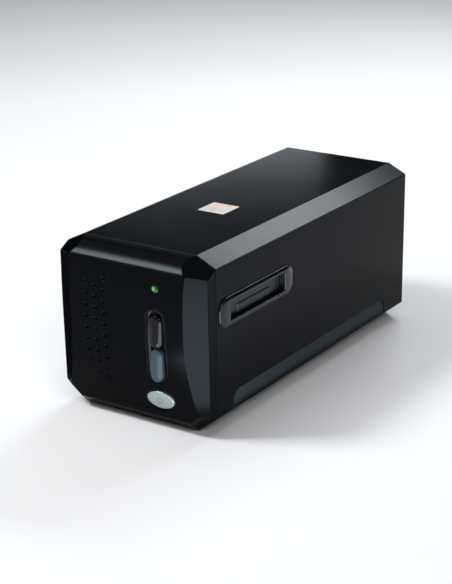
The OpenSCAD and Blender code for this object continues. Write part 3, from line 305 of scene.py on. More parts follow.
class Wire:
    """A value in a finish's nodes. A sum written with it adds Math nodes."""

    def __init__(self, recipe, socket):
        self.recipe = recipe
        self.socket = socket

    def maths(self, operation, *values):
        return self.recipe.node(
            "ShaderNodeMath", {"operation": operation}, dict(enumerate(values))
        )

    def __add__(self, other):
        return self.maths("ADD", self, other)

    def __radd__(self, other):
        return self.maths("ADD", other, self)

    def __sub__(self, other):
        return self.maths("SUBTRACT", self, other)

    def __rsub__(self, other):
        return self.maths("SUBTRACT", other, self)

    def __mul__(self, other):
        return self.maths("MULTIPLY", self, other)

    def __rmul__(self, other):
        return self.maths("MULTIPLY", other, self)

    def __truediv__(self, other):
        return self.maths("DIVIDE", self, other)

    def __rtruediv__(self, other):
        return self.maths("DIVIDE", other, self)

    def __pow__(self, other):
        return self.maths("POWER", self, other)

    def __rpow__(self, other):
        return self.maths("POWER", other, self)

    def __abs__(self):
        return self.maths("ABSOLUTE", self)

    def whole(self):
        """The nearest whole number"""
        return self.maths("ROUND", self)

    def wave(self):
        """A sine brought to between 0 and 1"""
        return self.maths("SINE", self) * 0.5 + 0.5

    def either(self, other):
        """The greater of two"""
        return self.maths("MAXIMUM", self, other)

    def above(self, limit, soft):
        """0 below the limit and 1 above it, with a soft step"""
        return self.recipe.node(
            "ShaderNodeMapRange",
            {"interpolation_type": "SMOOTHSTEP"},
            {
                "Value": self,
                "From Min": limit - soft,
                "From Max": limit + soft,
                "To Min": 0.0,
                "To Max": 1.0,
            },
        )

    def below(self, limit, soft):
        return 1 - self.above(limit, soft)


class Recipe:
    """The nodes of one finish"""

    def __init__(self, name):
        self.material = bpy.data.materials.new(name)
        self.material.use_nodes = True
        self.tree = self.material.node_tree
        self.tree.nodes.clear()

    def node(self, kind, settings=None, inputs=None, output=0):
        """Adds a node, sets its settings, then its sockets, and gives one output"""
        made = self.tree.nodes.new(kind)
        for key, value in (settings or {}).items():
            setattr(made, key, value)
        for key, value in (inputs or {}).items():
            if isinstance(value, Wire):
                self.tree.links.new(value.socket, made.inputs[key])
            else:
                made.inputs[key].default_value = value
        return Wire(self, made.outputs[output]) if made.outputs else None

    def place(self):
        """The point on the object, in metres"""
        return self.node("ShaderNodeTexCoord", output="Object")

    def axes(self, names):
        """The coordinates of that point that are named, such as XZ"""
        split = "ShaderNodeSeparateXYZ"
        return [self.node(split, None, {"Vector": self.place()}, output=name) for name in names]

    def noise(self, size_mm, detail=2.0, seed=0.0, stretch=(1, 1, 1)):
        """A cloudy value from 0 to 1 whose lumps have the size given"""
        shifted = self.node(
            "ShaderNodeMapping",
            {"vector_type": "POINT"},
            {"Vector": self.place(), "Location": (seed, seed, seed), "Scale": stretch},
        )
        return self.node(
            "ShaderNodeTexNoise",
            {"noise_dimensions": "3D"},
            {"Vector": shifted, "Scale": 1 / (size_mm * MM), "Detail": detail},
        )

    def mix(self, amount, first, second):
        """A colour between two, by an amount from 0 to 1"""
        return self.node(
            "ShaderNodeMix",
            {"data_type": "RGBA", "clamp_factor": True},
            {0: amount, 6: self.rgba(first), 7: self.rgba(second)},
            output=2,
        )

    @staticmethod
    def rgba(value):
        return value if isinstance(value, Wire) else (*value, 1.0)

    def relief(self, height, depth_mm):
        """A bumped normal from a height of 0 to 1"""
        return self.node(
            "ShaderNodeBump", None, {"Height": height, "Strength": 1.0, "Distance": depth_mm * MM}
        )

    def surface(self, **sockets):
        """The finish's shader. Socket names have _ for a space"""
        inputs = {}
        for key, value in sockets.items():
            name = key.replace("_", " ")
            if isinstance(value, tuple) and len(value) == 3 and "Color" in name:
                value = (*value, 1.0)
            inputs[name] = value
        shader = self.node("ShaderNodeBsdfPrincipled", None, inputs)
        self.node("ShaderNodeOutputMaterial", None, {"Surface": shader})
        return self.material


COOL_SHEEN = (0.74, 0.9, 1.0, 1.0)
DUST = (0.3, 0.3, 0.32)


def tint(base, amount):
    """A colour made lighter or darker"""
    return tuple(min(1.0, channel * amount) for channel in base)


def moulded(name, base, rough, grain_mm, depth_mm, specular=0.5, patch=None):
    """Moulded plastic: a spark-eroded grain, faint clouding and a trace of handling.

    A patch gives, for the recipe, the amount and the colour of a part of another shade.
    """
    r = Recipe(name)
    grain = 0.6 * r.noise(grain_mm, 1.0) + 0.4 * r.noise(grain_mm * 2.3, 2.0, 3.0)
    cloud = r.noise(38, 3.0, 7.0)
    rub = r.noise(9, 4.0, 11.0, (1, 0.4, 1)).above(0.62, 0.1)
    shade = r.mix(cloud, tint(base, 0.85), tint(base, 1.2))
    if patch:
        amount, other = patch(r)
        shade = r.mix(amount, shade, other)
    return r.surface(
        Base_Color=shade,
        Roughness=rough + 0.10 * (grain - 0.5) + 0.05 * (cloud - 0.5) - 0.01 * rub,
        Normal=r.relief(grain, depth_mm),
        Specular_IOR_Level=specular,
        Specular_Tint=COOL_SHEEN,
    )


def glossy(name, base, rough, specular, coat):
    """Polished plastic: faint orange peel, fine hairlines and a little dust"""
    r = Recipe(name)
    peel = r.noise(3.0, 2.0)
    hair = r.noise(1.2, 3.0, 5.0, (1, 1, 0.08)).above(0.66, 0.04)
    dust = r.noise(0.35, 1.0, 9.0).above(0.74, 0.03)
    return r.surface(
        Base_Color=r.mix(dust * 0.10, base, DUST),
        Roughness=rough + 0.04 * peel + 0.05 * hair + 0.12 * dust,
        Normal=r.relief(peel, 0.006),
        Specular_IOR_Level=specular,
        Coat_Weight=coat,
        Coat_Roughness=0.04,
    )


def metal(name, base, rough, stretch=(1, 1, 1), grain_mm=1.2):
    """Bare metal: drawn or rolled streaks and slight tarnish"""
    r = Recipe(name)
    streak = r.noise(grain_mm, 4.0, 2.0, stretch)
    tarnish = r.noise(14, 4.0, 8.0)
    return r.surface(
        Base_Color=r.mix(tarnish, tint(base, 0.82), tint(base, 1.06)),
        Metallic=1.0,
        Roughness=rough + 0.16 * (streak - 0.5) + 0.10 * (tarnish - 0.5),
        Normal=r.relief(streak, 0.008),
    )


def circuit_board(name, base):
    """Green solder resist with tracks under it and tinned pads"""
    r = Recipe(name)
    y, z = r.axes("YZ")
    track = abs(r.noise(5.0, 2.0) - 0.5).below(0.018, 0.008)
    steps = (y + z) * 190
    rows = abs(steps - steps.whole()).below(0.10, 0.03) * r.noise(12, 1.0, 6.0).above(0.52, 0.02)
    lines = track.either(rows)
    pads = r.noise(2.2, 0.0, 12.0).above(0.72, 0.02)
    green = r.mix(lines, base, tint(base, 1.9))
    return r.surface(
        Base_Color=r.mix(pads, green, (0.62, 0.62, 0.60)),
        Roughness=0.32 + 0.10 * r.noise(6, 3.0),
        Metallic=0.85 * pads,
        Normal=r.relief(lines + pads, 0.03),
    )


def rubber(name, base):
    """Matt rubber with a dusty bloom"""
    r = Recipe(name)
    bloom = r.noise(2.5, 5.0)
    speck = r.noise(0.3, 1.0, 3.0)
    return r.surface(
        Base_Color=r.mix(bloom, base, tint(base, 2.2)),
        Roughness=0.78 + 0.16 * (bloom - 0.5),
        Normal=r.relief(speck, 0.03),
        Specular_IOR_Level=0.35,
    )


def glass(name, base, rough):
    """Coated optical glass, dark because what is behind it is dark"""
    r = Recipe(name)
    smear = r.noise(6, 3.0)
    return r.surface(
        Base_Color=r.mix(smear, base, tint(base, 1.25)),
        Roughness=rough + 0.05 * smear,
        Metallic=0.1 + 0.08 * smear,
        Coat_Weight=1.0,
        Coat_Roughness=0.02,
        Coat_Tint=(0.75, 0.7, 1.0, 1.0),
    )


def mirror_finish(name):
    """A front-silvered mirror, with a little haze"""
    r = Recipe(name)
    haze = r.noise(5, 4.0)
    return r.surface(
        Base_Color=r.mix(haze, (0.86, 0.88, 0.9), (0.93, 0.94, 0.95)),
        Metallic=1.0,
        Roughness=0.02 + 0.05 * haze,
    )


def label_paper(name):
    """White paper label with plain tinted bars"""
    settings = case_settings()
    paper = tuple(settings.label_colour)
    r = Recipe(name)
    x, y = r.axes("XY")
    middle_y = (LABEL_LOW.y + LABEL_HIGH.y) / 2 * MM
    fibre = r.noise(0.5, 4.0)
    shade = r.mix(fibre, tint(paper, 0.94), tint(paper, 1.04))

    def bar(from_x, to_x, from_y, to_y):
        """1 inside a bar on the label, measured in millimetres from its middle"""
        across = abs(x - (from_x + to_x) / 2 * MM).below((to_x - from_x) / 2 * MM, 0.1 * MM)
        along = abs(y - (middle_y + (from_y + to_y) / 2 * MM))
        return across * along.below((to_y - from_y) / 2 * MM, 0.1 * MM)

    def several(bars):
        found = bar(*bars[0])
        for one in bars[1:]:
            found = found.either(bar(*one))
        return found

    warm = several([(-7.5, 6.5, 6.0, 7.8), (-7.5, 2.5, 2.6, 4.4)])
    grey = several([(-8, 7.5, -1.2, -0.2), (-8, 4.0, -3.2, -2.2), (-8, 7.5, -5.2, -4.2),
                    (-8, 1.5, -7.2, -6.2)])
    shade = r.mix(warm * 0.75, shade, (0.78, 0.34, 0.16))
    shade = r.mix(grey * 0.55, shade, (0.30, 0.28, 0.34))
    return r.surface(
        Base_Color=shade,
        Roughness=0.5 + 0.12 * fibre,
        Normal=r.relief(fibre, 0.01),
    )


def power_key_finish(name):
    """Silver paint with the usual ring and stroke of a power key printed on it"""
    base = tuple(control_settings().power_colour)
    r = Recipe(name)
    x, z = r.axes("XZ")
    across = x - CONTROL_X * MM
    up = z - POWER_Z * MM
    distance = (across * across + up * up) ** 0.5
    ring = abs(distance - 1.9 * MM).below(0.2 * MM, 0.08 * MM)
    gap = abs(across).below(0.75 * MM, 0.05 * MM) * up.above(0.0, 0.05 * MM)
    stroke = abs(across).below(0.2 * MM, 0.08 * MM)
    stroke = stroke * abs(up - 1.5 * MM).below(1.1 * MM, 0.08 * MM)
    mark = (ring * (1 - gap)).either(stroke)
    flake = r.noise(0.18, 1.0)
    silver_paint = r.mix(flake, tint(base, 0.88), tint(base, 1.08))
    return r.surface(
        Base_Color=r.mix(mark * 0.8, silver_paint, (0.02, 0.02, 0.02)),
        Metallic=0.55 - 0.5 * mark,
        Roughness=0.24 + 0.08 * flake + 0.15 * mark,
        Normal=r.relief(flake, 0.005),
        Coat_Weight=0.4,
        Coat_Roughness=0.06,
    )


def lit_lens(name, base, glow):
    """A lit lens: glowing, brightest at a painted highlight up and left of its middle and darker
    round it, with moulded rings inside
    """
    r = Recipe(name)
    x, z = r.axes("XZ")
    across = x - GLOW_AND_GLINT_X * MM
    up = z - GLOW_AND_GLINT_Z * MM
    distance = (across * across + up * up) ** 0.5 / (LIGHT_W / 2 * MM)
    # The bright core sits up and left of the lens's middle: a painted highlight on the lens's own
    # glow
    core = distance.below(0.5, 0.3)
    rings = (distance * 26).wave()
    return r.surface(
        Base_Color=r.mix(core, tint(base, 0.2), base),
        Emission_Color=r.mix(core, tint(base, 0.05), tint(base, 1.5)),
        Emission_Strength=glow,
        Roughness=0.08 + 0.08 * rings,
        Normal=r.relief(rings, 0.01),
        Specular_IOR_Level=0.12,
    )


# Radians to a metre: about one conductor in each millimetre
CONDUCTORS = 6280


def printed_cable(name):
    """Flat cable: pale film over fine parallel conductors"""
    r = Recipe(name)
    up = r.axes("Z")[0]
    lines = (up * CONDUCTORS).wave()
    return r.surface(
        Base_Color=r.mix(lines, (0.55, 0.57, 0.6), (0.8, 0.82, 0.84)),
        Roughness=0.3 + 0.1 * lines,
        Normal=r.relief(lines, 0.03),
    )


def floor_finish(name):
    """Plain pale studio floor with the faintest mottling"""
    base = tuple(stage_settings().floor_colour)
    r = Recipe(name)
    mottle = r.noise(160, 4.0)
    return r.surface(
        Base_Color=r.mix(mottle, tint(base, 0.99), tint(base, 1.01)),
        Roughness=0.62 + 0.06 * mottle,
        Specular_IOR_Level=0.2,
    )


def case_grain():
    """Size and depth of the shells' grain, in millimetres"""
    settings = case_settings()
    return settings.grain_size / MM, settings.grain_depth / MM


def case_black(name):
    """The case's plastic, with the grips' floor painted paler: a painted highlight for light from
    above
    """
    grain_mm, depth_mm = case_grain()
    settings = case_settings()

    def grips(r):
        """How far a point is on a grip's floor, and the paler colour painted there as light from
        above
        """
        x, y, z = r.axes("XYZ")
        inside = abs(x).below((HALF_W - GRIP_D / 4) * MM, 0.4 * MM)
        middle = (GRIP_LOW + GRIP_HIGH) / 2 * MM
        level = abs(z - middle).below((GRIP_HIGH - GRIP_LOW) / 2 * MM, 0.3 * MM)
        lengthwise = abs(y).below(GRIP_REACH * MM, 0.3 * MM)
        return inside * level * lengthwise, tuple(settings.grip_painted_light)

    return moulded(
        name, tuple(settings.case_colour), 0.17, grain_mm, depth_mm, settings.gloss_level, grips
    )


def bezel_charcoal(name):
    """The front bezel's plastic, a little blacker and with a deeper grain"""
    grain_mm, depth_mm = case_grain()
    settings = case_settings()
    return moulded(
        name, tuple(settings.bezel_colour), 0.22, grain_mm, depth_mm * 1.2, settings.gloss_level
    )


def upper_button_smoke(name):
    """Dark and glossy plastic of the upper scan button"""
    base = tuple(control_settings().upper_colour)
    return glossy(name, base, rough=0.08, specular=0.1, coat=0.04)


def lower_button_grey(name):
    """Silver-grey plastic of the lower scan button"""
    base = tuple(control_settings().lower_colour)
    return moulded(name, base, rough=0.3, grain_mm=0.4, depth_mm=0.008, specular=0.12)


def status_light_green(name):
    """The lens of the status light, lit"""
    settings = control_settings()
    return lit_lens(name, tuple(settings.light_colour), settings.light_glow)


def of_recipe(recipe, *values, **named):
    """A finish that a recipe gives with these values"""
    return lambda name: recipe(name, *values, **named)


FINISHES = {
    "case_black": case_black,
    "bezel_charcoal": bezel_charcoal,
    "frame_gloss": of_recipe(glossy, (0.003, 0.004, 0.006), rough=0.10, specular=0.25, coat=0.1),
    "door_satin": of_recipe(
        moulded, (0.006, 0.007, 0.011), rough=0.34, grain_mm=0.4, depth_mm=0.012, specular=0.3
    ),
    "gloss_black": of_recipe(glossy, (0.002, 0.002, 0.003), rough=0.05, specular=0.06, coat=0.02),
    "smoke_gloss": upper_button_smoke,
    "silver_grey": lower_button_grey,
    "silver": power_key_finish,
    "light_green": status_light_green,
    "led_green": of_recipe(lit_lens, (0.3, 0.8, 0.25), glow=2.0),
    "rubber_black": of_recipe(rubber, (0.012, 0.012, 0.012)),
    "label_white": label_paper,
    "steel": of_recipe(metal, (0.52, 0.53, 0.55), rough=0.3),
    "rod_steel": of_recipe(
        metal, (0.66, 0.67, 0.69), rough=0.14, stretch=(1, 0.05, 1), grain_mm=0.6
    ),
    "sheet_steel": of_recipe(
        metal, (0.5, 0.51, 0.53), rough=0.38, stretch=(1, 0.1, 1), grain_mm=2.0
    ),
    "board_green": of_recipe(circuit_board, (0.012, 0.085, 0.035)),
    "parts_black": of_recipe(
        moulded, (0.016, 0.016, 0.018), rough=0.5, grain_mm=0.7, depth_mm=0.02
    ),
    "bush_brass": of_recipe(metal, (0.62, 0.42, 0.16), rough=0.3),
    "mirror_glass": mirror_finish,
    "lens_glass": of_recipe(glass, (0.02, 0.03, 0.05), rough=0.03),
    "barrel_black": of_recipe(
        moulded, (0.01, 0.01, 0.011), rough=0.34, grain_mm=0.3, depth_mm=0.01
    ),
    "sensor_ceramic": of_recipe(
        moulded, (0.05, 0.045, 0.04), rough=0.4, grain_mm=1.2, depth_mm=0.01
    ),
    "lamp_white": of_recipe(moulded, (0.7, 0.71, 0.7), rough=0.4, grain_mm=0.6, depth_mm=0.01),
    "diffuser_white": of_recipe(
        moulded, (0.85, 0.86, 0.85), rough=0.3, grain_mm=0.4, depth_mm=0.01
    ),
    "nut_cream": of_recipe(moulded, (0.66, 0.64, 0.55), rough=0.45, grain_mm=0.8, depth_mm=0.015),
    "motor_grey": of_recipe(metal, (0.2, 0.205, 0.215), rough=0.34),
    "cable_grey": printed_cable,
    "floor_pale": floor_finish,
    "flag_black": of_recipe(rubber, (0.002, 0.002, 0.002)),
}


MADE = {}


def finish(name):
    """The finish of that name, made the first time it is asked for"""
    if name not in MADE:
        MADE[name] = FINISHES[name](name + "_finish")
    return MADE[name]


# ---- Mesh helpers ----


def rounded_outline(wide, tall, radius, steps=10):
    """Points round a rectangle with round corners, as (across, up)"""
    points = []
    for turn, (side, level) in enumerate(((1, 1), (-1, 1), (-1, -1), (1, -1))):
        for i in range(steps + 1):
            angle = math.radians(90 * (turn + i / steps))
            points.append((
                side * (wide / 2 - radius) + radius * math.cos(angle),
                level * (tall / 2 - radius) + radius * math.sin(angle),
            ))
    return points


def oval_outline(wide, tall, count=96):
    """Points round an oval"""
    turns = [2 * math.pi * i / count for i in range(count)]
    return [(wide / 2 * math.cos(a), tall / 2 * math.sin(a)) for a in turns]


def circle_outline(radius, count=48):
    """Points round a circle"""
    return oval_outline(2 * radius, 2 * radius, count)


def quarter_turn(steps):
    """Angles from none to a right one, in even steps"""
    return [math.radians(90 * i / steps) for i in range(steps + 1)]


def loft(bm, loops, ring=False):
    """Skins a row of loops of points. A ring's last loop joins its first"""
    rows = [[bm.verts.new(point) for point in loop] for loop in loops]
    pairs = list(zip(rows, rows[1:]))
    if ring:
        pairs.append((rows[-1], rows[0]))
    else:
        bm.faces.new(rows[0])
        bm.faces.new(rows[-1])
    for near, far in pairs:
        for i in range(len(near)):
            j = (i + 1) % len(near)
            bm.faces.new((near[i], near[j], far[j], far[i]))


def block(bm, low, high):
    """A box between two corners, as a body to join or cut with"""
    bottom = [(low[0], low[1]), (high[0], low[1]), (high[0], high[1]), (low[0], high[1])]
    loft(bm, [[(x, y, z) for x, y in bottom] for z in (low[2], high[2])])


def along_y(outline, y, centre):
    """An outline set upright across Y, round a centre (x, z)"""
    return [(centre[0] + u, y, centre[1] + v) for u, v in outline]


def rod_y(bm, radius, y0, y1, x, z, count=48):
    """A rod along Y"""
    loft(bm, [along_y(circle_outline(radius, count), y, (x, z)) for y in (y0, y1)])


def new_object(name, bm):
    """Turns a bmesh in millimetres into an object in metres"""
    bmesh.ops.remove_doubles(bm, verts=bm.verts, dist=1e-5)
    bmesh.ops.scale(bm, vec=(MM, MM, MM), verts=bm.verts)
    bmesh.ops.recalc_face_normals(bm, faces=bm.faces)
    mesh = bpy.data.meshes.new(name)
    bm.to_mesh(mesh)
    bm.free()
    made = bpy.data.objects.new(name, mesh)
    bpy.context.scene.collection.objects.link(made)
    return made


def apply_modifiers(piece):
    """Makes what the modifiers give the piece's own mesh"""
    bpy.context.view_layer.update()
    solved = piece.evaluated_get(bpy.context.evaluated_depsgraph_get())
    mesh = bpy.data.meshes.new_from_object(solved)
    piece.modifiers.clear()
    piece.data = mesh
    if not mesh.polygons:
        raise RuntimeError(f"{piece.name} came out empty")


def combine(piece, operation, bm):
    """Joins bodies to a piece, cuts them from it or keeps what they share"""
    tool = new_object(piece.name + "_tool", bm)
    step = piece.modifiers.new("combine", "BOOLEAN")
    step.operation = operation
    step.solver = "EXACT"
    step.object = tool
    apply_modifiers(piece)
    bpy.data.objects.remove(tool)


def round_edges(piece, width_mm, pick, steps, from_angle):
    """Rounds the edges that pick(midpoint in mm, angle) gives a share above 0"""
    bm = bmesh.new()
    bm.from_mesh(piece.data)
    bmesh.ops.remove_doubles(bm, verts=bm.verts, dist=1e-7)
    bmesh.ops.dissolve_limit(
        bm, angle_limit=math.radians(0.1), verts=bm.verts, edges=bm.edges
    )
    weight = bm.edges.layers.float.get("bevel_weight_edge")
    weight = weight or bm.edges.layers.float.new("bevel_weight_edge")
    for edge in bm.edges:
        edge[weight] = 0
        if len(edge.link_faces) != 2:
            continue
        angle = math.degrees(edge.calc_face_angle(0))
        if angle > from_angle:
            middle = (edge.verts[0].co + edge.verts[1].co) / 2 / MM
            edge[weight] = pick(middle, angle) * min(1, math.tan(math.radians(angle / 2)))
    bm.to_mesh(piece.data)
    bm.free()
    step = piece.modifiers.new("round", "BEVEL")
    step.limit_method = "WEIGHT"
    step.width = width_mm * MM
    step.segments = steps
    step.use_clamp_overlap = False
    apply_modifiers(piece)


def hand_over(piece, finish_name, body, nodes, sharp=34):
    """Shades a finished piece, gives it its finish and ties it to the CAD model"""
    mesh = piece.data
    mesh.materials.clear()
    mesh.materials.append(finish(finish_name))
    for face in mesh.polygons:
        face.material_index = 0
    mesh.shade_smooth()
    mesh.set_sharp_from_angle(angle=math.radians(sharp))
    even = piece.modifiers.new("even_shading", "WEIGHTED_NORMAL")
    even.keep_sharp = True
    even.weight = 80
    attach(piece, body)
    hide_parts(*nodes)


def copy_of(node, name):
    """A piece that starts from a CAD node's mesh, with flat faces made whole"""
    bm = bmesh.new()
    bm.from_mesh(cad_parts[node].data)
    bmesh.ops.scale(bm, vec=(1 / MM,) * 3, verts=bm.verts)
    return new_object(name, bm)


def every_edge(middle, angle):
    """The pick for a piece whose edges are all rounded alike"""
    return 1


def rounded_copy(node, name, width_mm, finish_name, body, pick=every_edge, steps=2, from_angle=35):
    """A CAD node with its edges rounded, standing for that node"""
    piece = copy_of(node, name)
    round_edges(piece, width_mm, pick, steps, from_angle)
    hand_over(piece, finish_name, body, [node])


def seam_share():
    """Share of the full rounding that the shells' edges get along the seams"""
    settings = case_settings()
    return settings.seam_radius / settings.edge_radius


def shell_copy(node, name, pick):
    """A shell of the case with its edges rounded, softer along the seams"""
    width_mm = case_settings().edge_radius / MM
    rounded_copy(node, name, width_mm, "case_black", "case", pick, steps=3, from_angle=20)


# ---- The case's section and the bezel's form ----


def unit(vector):
    """The vector at a length of one"""
    size = math.hypot(*vector)
    return tuple(part / size for part in vector)


SLOPE_N = unit((SLOPE_H, SLOPE_W))
UNDER_N = unit((UNDER_H, -UNDER_W))


def section(drawn_in):
    """Corners of the case's outline, drawn in, counter-clockwise from the right foot"""
    corners = (
        ((HALF_W - UNDER_W, BASE_Z), (0, -1), UNDER_N),
        ((HALF_W, BASE_Z + UNDER_H), UNDER_N, (1, 0)),
        ((HALF_W, SPLIT_Z), (1, 0), SLOPE_N),
        ((HALF_W - SLOPE_W, TOP_Z), SLOPE_N, (0, 1)),
    )
    half = []
    for point, first, second in corners:
        part = drawn_in / (1 + first[0] * second[0] + first[1] * second[1])
        half.append(tuple(p - part * (a + b) for p, a, b in zip(point, first, second)))
    return half + [(-x, z) for x, z in reversed(half)]


def depth_inside(x, z):
    """How far a point lies inside the case's outline"""
    corners = section(0)
    depths = []
    for (x0, z0), (x1, z1) in zip(corners, corners[1:] + corners[:1]):
        across, up = x1 - x0, z1 - z0
        depths.append((across * (z - z0) - up * (x - x0)) / math.hypot(across, up))
    return min(depths)


def face_y(z):
    """Depth of the face at a height"""
    return FRONT_Y + FACE_R - math.sqrt(FACE_R**2 - (z - CROWN_Z) ** 2)


def arc_planes(centre, radius, start, end, step):
    """Planes that touch an upright arc; angles are from -Y towards +Z"""
    count = max(1, round((end - start) / step))
    planes = []
    for i in range(count + 1):
        angle = math.radians(start + (end - start) * i / count)
        normal = Vector((0, -math.cos(angle), math.sin(angle)))
        planes.append((Vector((0, *centre)) + radius * normal, normal))
    return planes


def bevel_planes():
    """Planes that touch the wide cone of the right bevel"""
    rise = (EDGE_R - FACE_R) / BEVEL_W
    opening = math.atan(rise)
    turn = math.atan(BEVEL_D / BEVEL_W) + opening - math.pi / 2
    back = FACE_R / rise
    apex = Vector((FACE_X - back, FRONT_Y - back * BEVEL_D / BEVEL_W, CROWN_Z))
    axis = Vector((-math.sin(turn), math.cos(turn), 0))
    out = Vector((math.cos(turn), math.sin(turn), 0))
    planes = []
    # Quarter degrees round the cone, from under the chin to over the brow
    for quarter in range(-52, 30):
        angle = math.radians(quarter / 4)
        spoke = math.cos(angle) * out + math.sin(angle) * Vector((0, 0, 1))
        planes.append((apex, math.cos(opening) * spoke - math.sin(opening) * axis))
    return planes


def mirrored(planes):
    """The planes of the right side, set on the left"""
    return [(Vector((-p.x, p.y, p.z)), Vector((-n.x, n.y, n.z))) for p, n in planes]


def brow_planes():
    """Planes that touch the rounded brow over the face"""
    start = Vector((face_y(BROW_Z), BROW_Z))
    end = Vector((SEAM_Y - SEAM_LAND, TOP_Z))
    chord = end - start
    inward = Vector((chord.y, -chord.x)).normalized()
    reach = math.sqrt(BROW_R**2 - chord.length_squared / 4)
    centre = (start + end) / 2 + inward * reach
    angles = [
        math.degrees(math.atan2(p.y - centre.y, centre.x - p.x)) for p in (start, end)
    ]
    return arc_planes(centre, BROW_R, angles[0], angles[1], 0.8)


def bezel_planes(rear):
    """Every plane of the bezel's outside, as a point and an outward normal"""
    planes = [(Vector((0, rear, 0)), Vector((0, 1, 0)))]
    corners = section(0)
    for (x0, z0), (x1, z1) in zip(corners, corners[1:] + corners[:1]):
        normal = Vector((z1 - z0, 0, x0 - x1)).normalized()
        planes.append((Vector((x0, 0, z0)), normal))
    planes += arc_planes((FRONT_Y + FACE_R, CROWN_Z), FACE_R, -11, 5, 0.25)
    planes += brow_planes()
    seam = SEAM_Y - SEAM_LAND
    brow_side = Vector((HALF_W, seam, SPLIT_Z))
    brow_seam = Vector((HALF_W - SLOPE_W, seam, TOP_Z))
    brow_face = Vector((FACE_X, face_y(BROW_Z), BROW_Z))
    right = bevel_planes()
    right.append((brow_side, (brow_seam - brow_side).cross(brow_face - brow_side).normalized()))
    low_n = (CHIN_SIDE - CHIN_FOOT).cross(CHIN_FACE - CHIN_FOOT).normalized()
    right.append((CHIN_FOOT, low_n))
    chin_n = Vector((0, CHIN_FOOT.z - CHIN_FACE.z, CHIN_FACE.y - CHIN_FOOT.y)).normalized()
    planes.append((CHIN_FOOT, chin_n))
    return planes + right + mirrored(right)


def cut_off(bm, point, normal):
    """Takes away what is outside a plane and closes the body there"""
    cut = bmesh.ops.bisect_plane(
        bm,
        geom=bm.verts[:] + bm.edges[:] + bm.faces[:],
        dist=1e-6,
        plane_co=point,
        plane_no=normal,
        clear_outer=True,
    )
    rim = [part for part in cut["geom_cut"] if isinstance(part, bmesh.types.BMEdge)]
    rim = [edge for edge in rim if len(edge.link_faces) < 2]
    if len(rim) > 2:
        bmesh.ops.contextual_create(bm, geom=rim)


def cut_body(planes, drawn_in):
    """The body that lies behind every plane, drawn in"""
    bm = bmesh.new()
    block(bm, (-100, -200, -50), (100, 200, 200))
    bmesh.ops.recalc_face_normals(bm, faces=bm.faces)
    for point, normal in planes:
        cut_off(bm, point - drawn_in * normal, normal)
    return bm


def rounded_body(planes, radius):
    """The same body with every edge rounded, as the hull of small arcs at its corners"""
    core = cut_body(planes, radius)
    core.normal_update()
    points = set()
    for vert in core.verts:
        for edge in vert.link_edges:
            if len(edge.link_faces) != 2:
                continue
            first, second = (face.normal for face in edge.link_faces)
            steps = 5 if first.angle(second) > math.radians(6) else 1
            for i in range(steps + 1):
                along = first.lerp(second, i / steps).normalized()
                points.add(tuple(round(c, 5) for c in vert.co + radius * along))
    core.free()
    bm = bmesh.new()
    for point in sorted(points):
        bm.verts.new(point)
    bmesh.ops.convex_hull(bm, input=bm.verts)
    loose = [vert for vert in bm.verts if not vert.link_faces]
    bmesh.ops.delete(bm, geom=loose, context="VERTS")
    bmesh.ops.dissolve_limit(
        bm, angle_limit=math.radians(0.05), verts=bm.verts, edges=bm.edges
    )
    return bm


def cut_at_seam(bm):
    """Ends a bezel body at the seam"""
    cut_off(bm, Vector((0, SEAM_Y, 0)), Vector((0, 1, 0)))
    return bm


def section_ring(bm, outer, inner, y0, y1):
    """A ring of the case's section, drawn in by outer and by inner"""
    loops = []
    for drawn_in, y in ((outer, y0), (outer, y1), (inner, y1), (inner, y0)):
        loops.append([(x, y, z) for x, z in section(drawn_in)])
    loft(bm, loops, ring=True)


# ---- Operators, one for each piece or group of like pieces ----


class ScannerMaker:
    """What the operators share"""

    bl_options = {"REGISTER", "UNDO"}

    def execute(self, context):
        self.make()
        return {"FINISHED"}


class SCANNER_OT_lower_case(ScannerMaker, bpy.types.Operator):
    """Make the lower case with its finger grips"""

    bl_idname = "scanner.lower_case"
    bl_label = "Lower Case"

    def make(self):
        soft_seam = seam_share()

        def pick(middle, angle):
            on_skin = depth_inside(middle.x, middle.z) < ON_SKIN
            in_grip = (
                abs(middle.x) > HALF_W - GRIP_D - 0.1
                and GRIP_LOW + 0.02 < middle.z < GRIP_HIGH + 0.1
            )
            at_end = middle.y < SEAM_Y + 1 or middle.y > REAR_Y - 0.1 or middle.z > SPLIT_Z - 0.4
            in_slot = abs(middle.z - SLOT_Z) < 10 and abs(middle.y - SLOT_Y) < 45
            if in_slot or not (on_skin or in_grip or middle.y > REAR_Y - 0.1):
                return 0
            return soft_seam if at_end else 1

        shell_copy("lower_case", "lower_case_shell", pick)


class SCANNER_OT_top_cover(ScannerMaker, bpy.types.Operator):
    """Make the top cover with its sloping strips"""

    bl_idname = "scanner.top_cover"
    bl_label = "Top Cover"

    def make(self):
        soft_seam = seam_share()

        def pick(middle, angle):
            if depth_inside(middle.x, middle.z) > ON_SKIN and middle.y < REAR_Y - 0.1:
                return 0
            if abs(middle.x) < 12 and SEAM_Y + 1 < middle.y < REAR_Y - 1:
                return 0
            seam = middle.y < SEAM_Y + 1 or middle.y > REAR_Y - 0.1 or middle.z < SPLIT_Z + 0.1
            return soft_seam if seam else 1

        shell_copy("top_cover", "top_cover_shell", pick)


